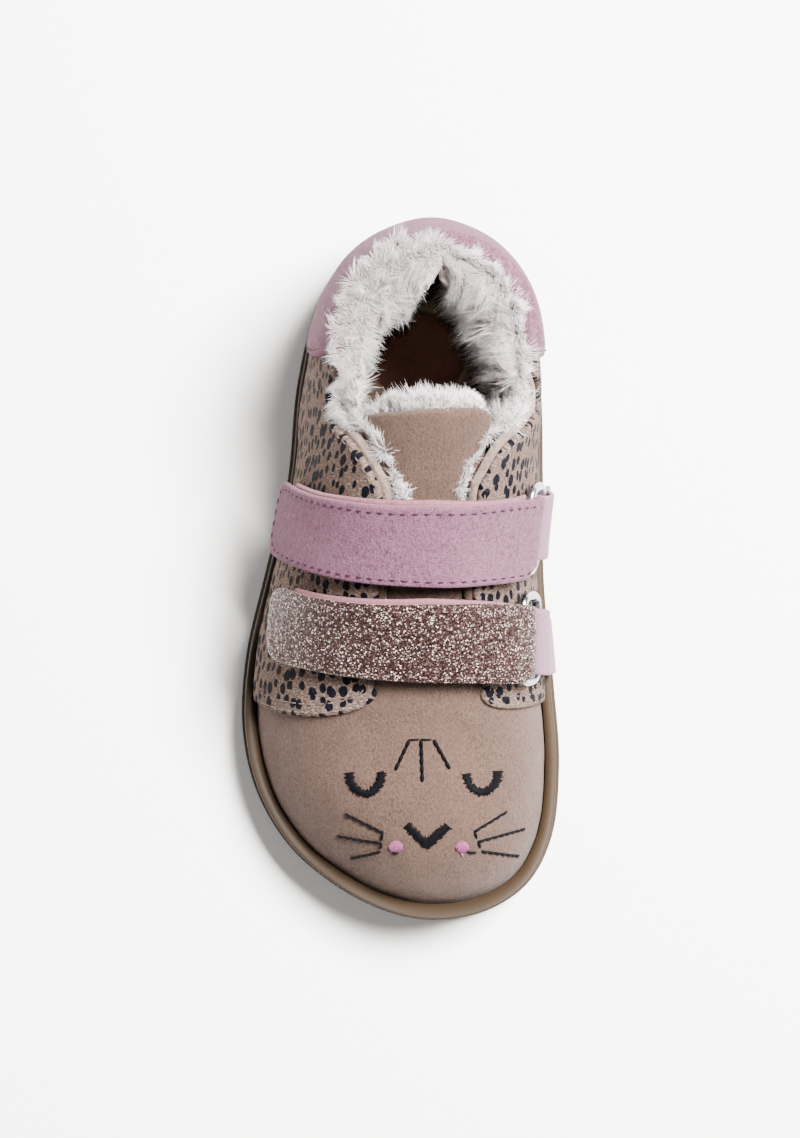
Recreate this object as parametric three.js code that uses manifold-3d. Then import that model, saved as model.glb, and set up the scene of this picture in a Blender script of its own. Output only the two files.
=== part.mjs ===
// A toddler's barefoot sneaker for the right foot: suede upper, wide toe, fur collar, two straps that
// run through metal loops and fold back, and a thin rubber cup sole.
// Millimetres. +Z is up, the toe points to -Y, the inner (big toe) side is +X.
// "Along" is measured from the heel end towards the toe, "depth" d along the outward normal of the last.

import * as THREE from 'three';
import { mergeVertices } from 'three/addons/utils/BufferGeometryUtils.js';
import Module from 'manifold-3d';

const wasm = await Module();
wasm.setup();

// Driving dimensions of the shoe
const LENGTH = 153.5; // sole, heel end to toe tip
const BALL_WIDTH = 70.5; // sole, across the ball
const INSTEP_HEIGHT = 66; // crown of the last under the mouth of the tongue
const HEEL_HEIGHT = 56.5; // collar edge at the back
const TOE_SPRING = 6; // lift of the sole at the toe tip
const HEEL_LIFT = 1.2; // lift of the sole at the heel end

// Sole
const SOLE_THICKNESS = 4; // tread to footbed
const RIM_HEIGHT = 11; // top of the side wall above the floor
const RIM_WIDTH = 2.6; // side wall, outside to upper
const FOXING_HEIGHT = 3; // lower band of the side wall
const FOXING_STEP = 0.7; // how far that band stands out
const WALL_DRAFT = 0.3; // how far the side wall leans in over its height
const RIM_ROUND = 0.6; // rounding of its top edge
const TREAD_ROUND = 1.4; // rounding of the tread's edge
const GROOVE_WIDTH = 1.4;
const GROOVE_DEPTH = 1.3;
const GROOVE_PITCH = 9.5;
const GROOVE_BOW = 3; // how far the grooves curve over half the ball
const TREAD_BORDER = 6; // plain edge round the grooves
const INSOLE_THICKNESS = 2.6;

// Upper
const WALL = 1.4; // vamp suede
const OVERLAY = 1.0; // quarter and heel pieces
const CLEARANCE = 0.3; // between pieces that lie on each other
const LAST_FLOOR = 1; // the last is closed below the footbed, out of sight
const TONGUE_THICKNESS = 2;
const TONGUE_ROOM = 0.5; // tongue under the throat
const TONGUE_FUR = 3.6;
const FUR_DEPTH = 10.5; // pile of the collar, inwards from the wall
const FUR_HEIGHT = 27; // pile of the collar, down from the edge

// Straps and loops
const STRAP_HALF_WIDTH = 8.1;
const STRAP_THICKNESS = 1.4;
const STRAP_LIFT = 0.5; // strap above the quarter
const STRAP_SLIT = 0.5; // between the two layers of a strap
const WIRE_RADIUS = 1;
const LOOP_WIDTH = 6.6; // bar to bar
const LOOP_CORNER = 2.2;
const LOOP_PLAY = 0.6; // loop past the strap's edges
const STRAP_CLIMB = 13; // length over which the folded layer rises to the bar
const TAB_LENGTH = 15; // from the loop's outer bar down the side
const TAB_NARROWING = 0.93; // share of the strap's width
const TAB_THICKNESS = 2.2; // where it is sewn down
const TAB_FOLD = 1.1; // strip round the bar

// The sole's outline. Shares of LENGTH from the heel, and of BALL_WIDTH from the shoe's middle line,
// from the heel end along the outer side to the toe tip and back along the inner side.
const OUTLINE = [
  { along: 0.0, across: 0.08 },
  { along: 0.032, across: -0.128 },
  { along: 0.103, across: -0.252 },
  { along: 0.226, across: -0.325 },
  { along: 0.374, across: -0.359 },
  { along: 0.503, across: -0.428 },
  { along: 0.626, across: -0.489 },
  { along: 0.729, across: -0.499 },
  { along: 0.819, across: -0.454 },
  { along: 0.897, across: -0.35 },
  { along: 0.955, across: -0.196 },
  { along: 0.99, across: -0.035 },
  { along: 1.0, across: 0.105 },
  { along: 0.987, across: 0.267 },
  { along: 0.948, across: 0.397 },
  { along: 0.884, across: 0.471 },
  { along: 0.781, across: 0.496 },
  { along: 0.665, across: 0.479 },
  { along: 0.516, across: 0.448 },
  { along: 0.361, across: 0.445 },
  { along: 0.232, across: 0.437 },
  { along: 0.103, across: 0.387 },
  { along: 0.032, across: 0.268 },
];

// Sections of the last: crown height as a share of INSTEP_HEIGHT, crown place as a share of BALL_WIDTH,
// roundness upwards and sideways (2 is an ellipse, more is squarer), lean of the crown to the inner side
// as a share of BALL_WIDTH, and how far the side swells and the foot tucks in, as shares of BALL_WIDTH.
const SECTIONS = [
  { along: 0.0, crown: 1.03, axis: 0.08, up: 2.9, side: 2.8, lean: 0.066, swell: 0.008, tuck: 0.012 },
  { along: 0.18, crown: 1.03, axis: 0.08, up: 3.2, side: 3.4, lean: 0.066, swell: 0.009, tuck: 0.008 },
  { along: 0.25, crown: 1.015, axis: 0.078, up: 2.7, side: 2.75, lean: 0.074, swell: 0.009, tuck: 0.004 },
  { along: 0.3, crown: 0.985, axis: 0.076, up: 2.45, side: 2.45, lean: 0.058, swell: 0.008, tuck: 0.0 },
  { along: 0.36, crown: 0.91, axis: 0.075, up: 2.3, side: 2.3, lean: 0.026, swell: 0.007, tuck: 0.0 },
  { along: 0.45, crown: 0.795, axis: 0.075, up: 2.15, side: 2.2, lean: 0.0, swell: 0.006, tuck: 0.0 },
  { along: 0.53, crown: 0.705, axis: 0.075, up: 2.1, side: 2.2, lean: 0.0, swell: 0.004, tuck: 0.0 },
  { along: 0.6, crown: 0.635, axis: 0.073, up: 2.1, side: 2.25, lean: 0.0, swell: 0.003, tuck: 0.0 },
  { along: 0.68, crown: 0.565, axis: 0.07, up: 2.1, side: 2.3, lean: 0.0, swell: 0.002, tuck: 0.0 },
  { along: 0.76, crown: 0.515, axis: 0.066, up: 2.1, side: 2.35, lean: 0.0, swell: 0.002, tuck: 0.0 },
  { along: 1.0, crown: 0.47, axis: 0.066, up: 2.05, side: 2.35, lean: 0.0, swell: 0.002, tuck: 0.0 },
];
const HEEL_POLE = 0.175; // share of LENGTH where the crown starts
const TOE_POLE = 0.79; // and where it ends

// Collar edge from the side, as shares of LENGTH and HEEL_HEIGHT.
const TOPLINE = [
  { along: -0.06, height: 1.0 },
  { along: 0.05, height: 0.997 },
  { along: 0.1, height: 0.955 },
  { along: 0.15, height: 0.92 },
  { along: 0.2, height: 0.903 },
  { along: 0.25, height: 0.92 },
  { along: 0.295, height: 0.962 },
  { along: 0.325, height: 1.03 },
  { along: 0.36, height: 1.13 },
];

// Throat from above: shares of LENGTH, and edges as shares of BALL_WIDTH.
const THROAT = [
  { along: 0.16, outer: -0.06, inner: 0.22 },
  { along: 0.25, outer: -0.17, inner: 0.372 },
  { along: 0.29, outer: -0.168, inner: 0.35 },
  { along: 0.325, outer: -0.106, inner: 0.274 },
  { along: 0.365, outer: -0.054, inner: 0.221 },
  { along: 0.4, outer: -0.028, inner: 0.194 },
  { along: 0.525, outer: -0.042, inner: 0.184 },
  { along: 0.605, outer: -0.05, inner: 0.196 },
];
const QUARTER_THROAT_END = { along: 0.66, outer: -0.058, inner: 0.218 };

// Front edges of the two quarters from above, from the throat round the corner and out past the sole.
const OUTER_FRONT = [
  { along: 0.635, across: -0.055 },
  { along: 0.66, across: -0.061 },
  { along: 0.68, across: -0.09 },
  { along: 0.694, across: -0.155 },
  { along: 0.701, across: -0.247 },
  { along: 0.698, across: -0.357 },
  { along: 0.682, across: -0.455 },
  { along: 0.66, across: -0.6 },
];
const INNER_FRONT = [
  { along: 0.64, across: 0.212 },
  { along: 0.665, across: 0.22 },
  { along: 0.682, across: 0.24 },
  { along: 0.69, across: 0.285 },
  { along: 0.692, across: 0.357 },
  { along: 0.684, across: 0.452 },
  { along: 0.664, across: 0.6 },
];

// Front edge of the heel piece from the side: it starts at the collar and runs down and back.
const HEEL_PIECE_FRONT = [
  { along: 0.2, height: 1.2 },
  { along: 0.205, height: 0.9 },
  { along: 0.208, height: 0.7 },
  { along: 0.2, height: 0.5 },
  { along: 0.178, height: 0.33 },
  { along: 0.15, height: 0.2 },
  { along: 0.13, height: 0.0 },
];

// Rim of the sole's side wall from the side, as a share of RIM_HEIGHT.
const RIM_LINE = [
  { along: 0.0, height: 1.18 },
  { along: 0.15, height: 1.1 },
  { along: 0.4, height: 1.0 },
  { along: 0.7, height: 1.0 },
  { along: 0.9, height: 1.1 },
  { along: 1.0, height: 1.2 },
];

// Tongue from above: shares of LENGTH, and half width as a share of BALL_WIDTH.
const TONGUE = [
  { along: 0.288, half: 0.17 },
  { along: 0.296, half: 0.192 },
  { along: 0.33, half: 0.187 },
  { along: 0.42, half: 0.17 },
  { along: 0.55, half: 0.155 },
  { along: 0.645, half: 0.135 },
];
const TONGUE_AXIS = 0.069; // share of BALL_WIDTH
const TONGUE_FUR_END = 0.44; // share of LENGTH
const TONGUE_FUR_TOP = 0.272; // the pile stands past the tongue's edge

// Pile of the collar in section: drop from the edge as a share of FUR_HEIGHT, depth of FUR_DEPTH.
const FUR_SECTION = [
  { drop: 0.05, depth: 0.0 },
  { drop: -0.08, depth: 0.12 },
  { drop: -0.13, depth: 0.42 },
  { drop: -0.05, depth: 0.8 },
  { drop: 0.14, depth: 1.0 },
  { drop: 0.42, depth: 0.98 },
  { drop: 0.7, depth: 0.8 },
  { drop: 0.92, depth: 0.45 },
  { drop: 1.0, depth: 0.0 },
  { drop: 0.5, depth: 0.0 },
];
// Plain waist between the heel's and the forefoot's grooves, and where those are, as shares of LENGTH.
const WAIST = { from: 0.42, length: 0.08 };
const GROOVED = [{ from: 0.075, to: 0.4 }, { from: 0.52, to: 0.83 }];

const FUR_COLUMNS_PAST_HEEL = 3; // how many columns of the skin the pile runs forward on each side
const FUR_END_DEPTH = 0.5; // share of the pile's depth that is left where it ends
const LOCK_LENGTH = 6;
const LOCK_RADIUS = 1.7;
const LOCK_SIDES = 5;
const LOCK_SINK = 0.5; // root inside the pile
const LOCK_ROWS = [
  { drop: 0.05, depth: 0.75 },
  { drop: 0.22, depth: 0.8 },
  { drop: 0.42, depth: 0.75 },
  { drop: 0.64, depth: 0.6 },
]; // roots in the pile's section

// Straps: place of the middle line on the crown, shares of LENGTH; how far its ends sweep to the heel;
// and the ends as shares of the way from the crown down to the sole.
const STRAPS = {
  upper: { along: 0.45, outerSweep: 0.028, innerSweep: 0.011, tip: 0.66, anchor: 0.56, bar: 0.365 },
  lower: { along: 0.584, outerSweep: 0.018, innerSweep: -0.007, tip: 0.57, anchor: 0.47, bar: 0.365 },
};
const STRAP_END_NARROWING = 0.93; // half width at the ends, share of STRAP_HALF_WIDTH
const TIP_CORNER = 4.5; // rounding of the free end

// Fineness of the faceted skin
const HEEL_COLUMNS = 12;
const SIDE_COLUMNS = 14;
const TOE_COLUMNS = 12;
const WALL_ROWS = 8;
const CURVE_STEPS = 40;
const LOOP_SIDES = 7;

const COLOURS = {
  suede: { color: 0xb89a84, roughness: 0.9, metalness: 0 },
  spotted: { color: 0xbfa68f, roughness: 0.85, metalness: 0 },
  pink: { color: 0xcfa7b8, roughness: 0.9, metalness: 0 },
  glitter: { color: 0xa57a70, roughness: 0.4, metalness: 0.5 },
  fur: { color: 0xeee6de, roughness: 1, metalness: 0 },
  rubber: { color: 0xa5825a, roughness: 0.6, metalness: 0 },
  insole: { color: 0x8b6a4f, roughness: 0.8, metalness: 0 },
  metal: { color: 0xc8c8cc, roughness: 0.25, metalness: 1 },
};

// Depths of the layers over the last
const QUARTER_IN = WALL + CLEARANCE;
const QUARTER_OUT = QUARTER_IN + OVERLAY;
const HEEL_IN = QUARTER_OUT + CLEARANCE;
const HEEL_OUT = HEEL_IN + OVERLAY;
const STRAP_IN = QUARTER_OUT + STRAP_LIFT;
const WIRE_DEPTH = STRAP_IN + STRAP_THICKNESS + CLEARANCE + WIRE_RADIUS;
const TONGUE_DEPTH = -TONGUE_ROOM;
const LAST_INSET = RIM_WIDTH + CLEARANCE + WALL;
const FAR = 3 * LENGTH; // past everything

const clamp = (value, low, high) => Math.min(Math.max(value, low), high);
const mix = (a, b, t) => a + (b - a) * t;
const smoothStep = (t) => clamp(t, 0, 1) ** 2 * (3 - 2 * clamp(t, 0, 1));

// Value of one column of a table at a share of the length, on a smooth curve through its rows.
function read(table, name, along) {
  const last = table.length - 1;
  let k = 0;
  while (k < last - 1 && along > table[k + 1].along) k += 1;
  const slope = (i) => {
    const before = table[Math.max(i - 1, 0)];
    const after = table[Math.min(i + 1, last)];
    return (after[name] - before[name]) / (after.along - before.along);
  };
  const span = table[k + 1].along - table[k].along;
  const t = clamp((along - table[k].along) / span, 0, 1);
  const rise = t * t * (3 - 2 * t);
  return mix(table[k][name], table[k + 1][name], rise)
    + span * (t * (1 - t) ** 2 * slope(k) - t * t * (1 - t) * slope(k + 1));
}

// Lift of the sole's underside off the floor.
function spring(s) {
  const toe = clamp((s / LENGTH - TOE_POLE) / (1 - TOE_POLE), 0, 1);
  const heel = clamp(1 - s / (0.07 * LENGTH), 0, 1);
  return TOE_SPRING * toe ** 2 + HEEL_LIFT * heel ** 2;
}

const footbed = (s) => SOLE_THICKNESS + spring(s);
const rim = (s) => RIM_HEIGHT * read(RIM_LINE, 'height', s / LENGTH) + spring(s);
const topline = (s) => HEEL_HEIGHT * read(TOPLINE, 'height', s / LENGTH);

// Smooth open line through points, as [a, b] pairs.
function smoothLine(points, count) {
  const curve = new THREE.SplineCurve(points.map(([a, b]) => new THREE.Vector2(a, b)));
  return curve.getPoints(count).map((p) => [p.x, p.y]);
}

// Points spread evenly along a polyline of vectors.
function spreadEvenly(line, count) {
  const reach = [0];
  for (let i = 1; i < line.length; i += 1) reach.push(reach[i - 1] + line[i].distanceTo(line[i - 1]));
  const total = reach[line.length - 1];
  const made = [];
  let k = 0;
  for (let i = 0; i <= count; i += 1) {
    const at = (total * i) / count;
    while (k < line.length - 2 && reach[k + 1] < at) k += 1;
    const t = clamp((at - reach[k]) / (reach[k + 1] - reach[k]), 0, 1);
    made.push(line[k].clone().lerp(line[k + 1], t));
  }
  return made;
}

// Columns of the skin, all round the sole: a fan at the heel, matched stations along both sides and a
// fan at the toe. Each has its place on the outline, the outward direction and its end on the crown.
function makeColumns() {
  const knots = OUTLINE.map((p) => new THREE.Vector3(p.across * BALL_WIDTH, p.along * LENGTH, 0));
  const outline = new THREE.CatmullRomCurve3(knots, true, 'centripetal').getPoints(480).slice(0, -1);
  const toeIndex = outline.reduce((best, p, i) => (p.y > outline[best].y ? i : best), 0);
  const heelIndex = outline.reduce((best, p, i) => (p.y < outline[best].y ? i : best), 0);
  const walk = (from, to, step) => {
    const line = [outline[from]];
    for (let i = from; i !== to;) {
      i = (i + step + outline.length) % outline.length;
      line.push(outline[i]);
    }
    return line;
  };
  const sides = [walk(heelIndex, toeIndex, 1), walk(heelIndex, toeIndex, -1)];
  const at = (side, s) => {
    const k = clamp(side.findIndex((p) => p.y >= s), 1, side.length - 1);
    const t = (s - side[k - 1].y) / (side[k].y - side[k - 1].y);
    return side[k - 1].clone().lerp(side[k], clamp(t, 0, 1));
  };
  const heelPole = HEEL_POLE * LENGTH;
  const toePole = TOE_POLE * LENGTH;
  const end = (side, keep, s) => [...side.filter(keep), at(side, s)];
  const [outerHeel, innerHeel] = sides.map((side) => end(side, (p) => p.y < heelPole, heelPole));
  const past = (side) => [at(side, toePole), ...side.filter((p) => p.y > toePole)];
  const heelFan = spreadEvenly([...innerHeel.reverse(), ...outerHeel.slice(1)], HEEL_COLUMNS);
  const toeFan = spreadEvenly([...past(sides[0]), ...past(sides[1]).reverse().slice(1)], TOE_COLUMNS);
  const stations = [];
  for (let k = 1; k < SIDE_COLUMNS; k += 1) stations.push(mix(heelPole, toePole, k / SIDE_COLUMNS));
  const ring = [
    ...heelFan.map((p) => ({ p, station: heelPole })),
    ...stations.map((s) => ({ p: at(sides[0], s), station: s })),
    ...toeFan.map((p) => ({ p, station: toePole })),
    ...stations.map((s) => ({ p: at(sides[1], s), station: s })).reverse(),
  ];
  return ring.map(({ p, station }, i) => {
    const before = ring[(i + ring.length - 1) % ring.length].p;
    const after = ring[(i + 1) % ring.length].p;
    const out = new THREE.Vector3(before.y - after.y, after.x - before.x, 0).normalize();
    return { foot: p, out, station };
  });
}

const COLUMNS = makeColumns();
const heelPoleColumn = HEEL_COLUMNS; // last column of the heel fan, on the outer side

// Point on the crown line above a station.
function crownPoint(station) {
  const along = station / LENGTH;
  const x = BALL_WIDTH * (read(SECTIONS, 'axis', along) + read(SECTIONS, 'lean', along));
  return new THREE.Vector3(x, station, INSTEP_HEIGHT * read(SECTIONS, 'crown', along) + spring(station));
}

// One column of the last's surface, from the foot at the sole's edge to the crown.
function wallLine(column) {
  const crown = crownPoint(column.station);
  const nearFoot = column.foot.y / LENGTH;
  const inset = LAST_INSET + BALL_WIDTH * read(SECTIONS, 'tuck', nearFoot);
  const foot = column.foot.clone().addScaledVector(column.out, -inset);
  const along = foot.y / LENGTH;
  const up = read(SECTIONS, 'up', along);
  const side = read(SECTIONS, 'side', along);
  const lean = BALL_WIDTH * read(SECTIONS, 'lean', column.station / LENGTH);
  const swell = BALL_WIDTH * read(SECTIONS, 'swell', along);
  const line = [];
  for (let k = 0; k <= CURVE_STEPS; k += 1) {
    const angle = (Math.PI / 2) * (k / CURVE_STEPS);
    const spread = k === CURVE_STEPS ? 0 : Math.cos(angle) ** (2 / side);
    const height = Math.sin(angle) ** (2 / up);
    const bow = swell * Math.sin(Math.PI * Math.min(height / 0.8, 1));
    const x = mix(crown.x - lean, foot.x, spread) + lean * height ** 2 + column.out.x * bow;
    const s = mix(crown.y, foot.y, spread) + column.out.y * bow;
    const crownHeight = INSTEP_HEIGHT * read(SECTIONS, 'crown', s / LENGTH);
    line.push(new THREE.Vector3(x, s, mix(LAST_FLOOR, crownHeight, height) + spring(s)));
  }
  line[CURVE_STEPS].copy(crown);
  return line;
}

// The last as a grid: for each column its rows of points and outward normals, and its length.
function makeSkin() {
  const lines = COLUMNS.map(wallLine);
  const rows = lines.map((line) => spreadEvenly(line, WALL_ROWS));
  const lengths = lines.map((line) => line.slice(1).reduce((sum, p, i) => sum + p.distanceTo(line[i]), 0));
  const count = COLUMNS.length;
  const normals = rows.map((column, c) => column.map((point, j) => {
    if (j === WALL_ROWS) {
      const station = COLUMNS[c].station;
      const rise = crownPoint(station + 1).z - crownPoint(station - 1).z;
      return new THREE.Vector3(0, -rise / 2, 1).normalize();
    }
    const round = rows[(c + 1) % count][j].clone().sub(rows[(c + count - 1) % count][j]);
    const upward = rows[c][Math.min(j + 1, WALL_ROWS)].clone().sub(rows[c][Math.max(j - 1, 0)]);
    const normal = upward.cross(round).normalize();
    return normal.dot(COLUMNS[c].out) + normal.z < 0 ? normal.negate() : normal;
  }));
  return { rows, normals, lengths };
}

const SKIN = makeSkin();

// Point of the skin in one column, at a share of the way from foot to crown, at a depth.
function inColumn(c, share, depth) {
  const index = (c + COLUMNS.length) % COLUMNS.length;
  const at = clamp(share, 0, 1) * WALL_ROWS;
  const j = Math.min(Math.floor(at), WALL_ROWS - 1);
  const point = SKIN.rows[index][j].clone().lerp(SKIN.rows[index][j + 1], at - j);
  const normal = SKIN.normals[index][j].clone().lerp(SKIN.normals[index][j + 1], at - j);
  return point.addScaledVector(normal.normalize(), depth);
}

// Point of the skin at a station. way is -1 at the outer foot, 0 on the crown and 1 at the inner foot.
function onSkin(station, way, depth) {
  const t = ((station / LENGTH - HEEL_POLE) / (TOE_POLE - HEEL_POLE)) * SIDE_COLUMNS;
  const k = clamp(Math.floor(t), 0, SIDE_COLUMNS - 1);
  const innerPole = HEEL_COLUMNS + SIDE_COLUMNS + TOE_COLUMNS;
  const column = (i) => (way < 0 ? heelPoleColumn + i : innerPole + SIDE_COLUMNS - i);
  const a = inColumn(column(k), 1 - Math.abs(way), depth);
  const b = inColumn(column(k + 1), 1 - Math.abs(way), depth);
  return a.lerp(b, t - k);
}

// Length of the skin from crown to foot at a station, on one side.
function wayLength(station, sign) {
  let sum = 0;
  for (let i = 1; i <= CURVE_STEPS; i += 1) {
    sum += onSkin(station, (sign * i) / CURVE_STEPS, 0)
      .distanceTo(onSkin(station, (sign * (i - 1)) / CURVE_STEPS, 0));
  }
  return sum;
}

// A solid from points in shoe coordinates (x, along, height) and triangles between them.
function solidFrom(points, triangles) {
  const geometry = new THREE.BufferGeometry();
  geometry.setAttribute('position', new THREE.Float32BufferAttribute(
    points.flatMap((p) => [p.x, -p.y, p.z]), 3));
  geometry.setIndex(triangles.flat());
  return toSolid(geometry);
}

// A closed geometry as a solid, with like vertices merged and its faces turned outwards.
function toSolid(geometry) {
  const bare = geometry.index ? geometry.clone() : geometry;
  bare.deleteAttribute('normal');
  bare.deleteAttribute('uv');
  const merged = mergeVertices(bare, 1e-4);
  const at = merged.attributes.position;
  const corners = [];
  for (let i = 0; i < merged.index.count; i += 3) {
    const [a, b, c] = [0, 1, 2].map((k) => merged.index.getX(i + k));
    if (a !== b && b !== c && c !== a) corners.push([a, b, c]);
  }
  const vertex = (i) => new THREE.Vector3().fromBufferAttribute(at, i);
  const volume = corners.reduce((sum, [a, b, c]) => sum + vertex(a).dot(vertex(b).cross(vertex(c))), 0);
  const turned = volume < 0 ? corners.map(([a, b, c]) => [a, c, b]) : corners;
  return new wasm.Manifold(new wasm.Mesh({
    numProp: 3,
    vertProperties: new Float32Array(at.array),
    triVerts: new Uint32Array(turned.flat()),
  }));
}

// A closed solid from rings of points: the first and last ring lie on the middle line.
function solidFromRings(rings) {
  const count = rings[0].length;
  const triangles = [];
  for (let j = 0; j < rings.length - 1; j += 1) {
    for (let c = 0; c < count; c += 1) {
      const a = j * count + c;
      const b = j * count + ((c + 1) % count);
      triangles.push([a, b, b + count], [a, b + count, a + count]);
    }
  }
  return solidFrom(rings.flat(), triangles);
}

// The last grown outwards by a depth, as one closed solid.
function lastSolid(depth) {
  const bottom = COLUMNS.map(({ station }) => {
    const crown = crownPoint(station);
    return new THREE.Vector3(crown.x, station, LAST_FLOOR + spring(station) - depth);
  });
  const rings = [bottom];
  for (let j = 0; j <= WALL_ROWS; j += 1) {
    rings.push(COLUMNS.map((_, c) => inColumn(c, j / WALL_ROWS, depth)));
  }
  return solidFromRings(rings);
}

// Cutting body from an outline seen from above, as [across, along] pairs.
function planBody(line, low = -FAR, high = FAR) {
  const shape = new THREE.Shape(line.map(([x, s]) => new THREE.Vector2(x, -s)));
  const geometry = new THREE.ExtrudeGeometry(shape, { depth: high - low, bevelEnabled: false });
  return toSolid(geometry.translate(0, 0, low));
}

// Cutting body from an outline seen from the side, as [along, height] pairs.
function sideBody(line) {
  const shape = new THREE.Shape(line.map(([s, z]) => new THREE.Vector2(-s, z)));
  const geometry = new THREE.ExtrudeGeometry(shape, { depth: 2 * FAR, bevelEnabled: false });
  const turn = new THREE.Matrix4().makeBasis(
    new THREE.Vector3(0, 1, 0), new THREE.Vector3(0, 0, 1), new THREE.Vector3(1, 0, 0));
  return toSolid(geometry.translate(0, 0, -FAR).applyMatrix4(turn));
}

// Everything below, or above, a height that changes along the shoe.
function under(height, from = -0.1, to = 1.1, steps = 32, floor = -FAR) {
  const line = [];
  for (let i = 0; i <= steps; i += 1) {
    const s = LENGTH * mix(from, to, i / steps);
    line.push([s, height(s)]);
  }
  return sideBody([...line, [line[steps][0], floor], [line[0][0], floor]]);
}

const over = (height, from, to, steps) => under(height, from, to, steps, FAR);
const tableLine = (table, a, b, scaleA, scaleB) => table.map((row) => [row[a] * scaleA, row[b] * scaleB]);

// The mouth of the shoe: what lies above the collar edge, and the throat seen from above.
function mouth(throatRows) {
  const lastShare = TOPLINE[TOPLINE.length - 1].along;
  const above = over(topline, TOPLINE[0].along, lastShare, 18);
  const edge = (name) => smoothLine(tableLine(throatRows, name, 'along', BALL_WIDTH, LENGTH), 18);
  const throat = planBody([...edge('outer'), ...edge('inner').reverse()], RIM_HEIGHT);
  return above.add(throat);
}

const PLACED = [];

// Files a finished solid as a named mesh with its finish.
function place(name, solid, finish) {
  const mesh = solid.getMesh();
  const geometry = new THREE.BufferGeometry();
  geometry.setAttribute('position', new THREE.BufferAttribute(new Float32Array(mesh.vertProperties), 3));
  geometry.setIndex(new THREE.BufferAttribute(new Uint32Array(mesh.triVerts), 1));
  geometry.computeVertexNormals();
  const made = new THREE.Mesh(geometry, new THREE.MeshStandardMaterial(COLOURS[finish]));
  made.name = name;
  PLACED.push(made);
}

// Upper: one hollow wall over the last, open at the mouth and underneath.
function makeUpper() {
  const shell = lastSolid(WALL).subtract(lastSolid(0));
  return shell.subtract(under((s) => footbed(s) + CLEARANCE)).subtract(mouth(THROAT));
}

// Quarters: printed overlays on both sides of the heel half, down to the rim of the sole.
function makeQuarter(front, sign) {
  const sheet = lastSolid(QUARTER_OUT).subtract(lastSolid(QUARTER_IN));
  const heelX = OUTLINE[0].across * BALL_WIDTH + (sign * CLEARANCE) / 2;
  const edge = smoothLine(tableLine(front, 'across', 'along', BALL_WIDTH, LENGTH), 14);
  const [outX] = edge[edge.length - 1];
  const axisX = TONGUE_AXIS * BALL_WIDTH;
  const field = planBody([
    ...edge, [outX, -LENGTH], [heelX, -LENGTH], [heelX, 0.2 * LENGTH], [axisX, 0.3 * LENGTH],
    [axisX, edge[0][1]],
  ]);
  const open = mouth([...THROAT, QUARTER_THROAT_END]);
  return sheet.intersect(field).subtract(open).subtract(under((s) => rim(s) + CLEARANCE));
}

// Heel piece: counter and collar binding in one, folded over the edge of the upper.
function makeHeelPiece() {
  const edge = (extra) => over((s) => topline(s) + extra, -0.3, 0.5);
  const covered = lastSolid(HEEL_IN).subtract(edge(CLEARANCE));
  const front = smoothLine(tableLine(HEEL_PIECE_FRONT, 'along', 'height', LENGTH, HEEL_HEIGHT), 12);
  const field = sideBody([...front, [-LENGTH, 0], [-LENGTH, 1.2 * HEEL_HEIGHT]]);
  return lastSolid(HEEL_OUT).subtract(lastSolid(0)).subtract(covered).subtract(edge(CLEARANCE + OVERLAY))
    .intersect(field).subtract(under((s) => rim(s) + CLEARANCE));
}

// Share of a column where the collar's edge crosses it.
function edgeShare(c) {
  const steps = 4 * CURVE_STEPS;
  for (let i = 1; i <= steps; i += 1) {
    const p = inColumn(c, i / steps, 0);
    const along = p.y / LENGTH;
    const inThroat = along > THROAT[1].along
      && p.x > BALL_WIDTH * read(THROAT, 'outer', along)
      && p.x < BALL_WIDTH * read(THROAT, 'inner', along);
    if (p.z > topline(p.y) || inThroat) return i / steps;
  }
  return 1;
}

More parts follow.
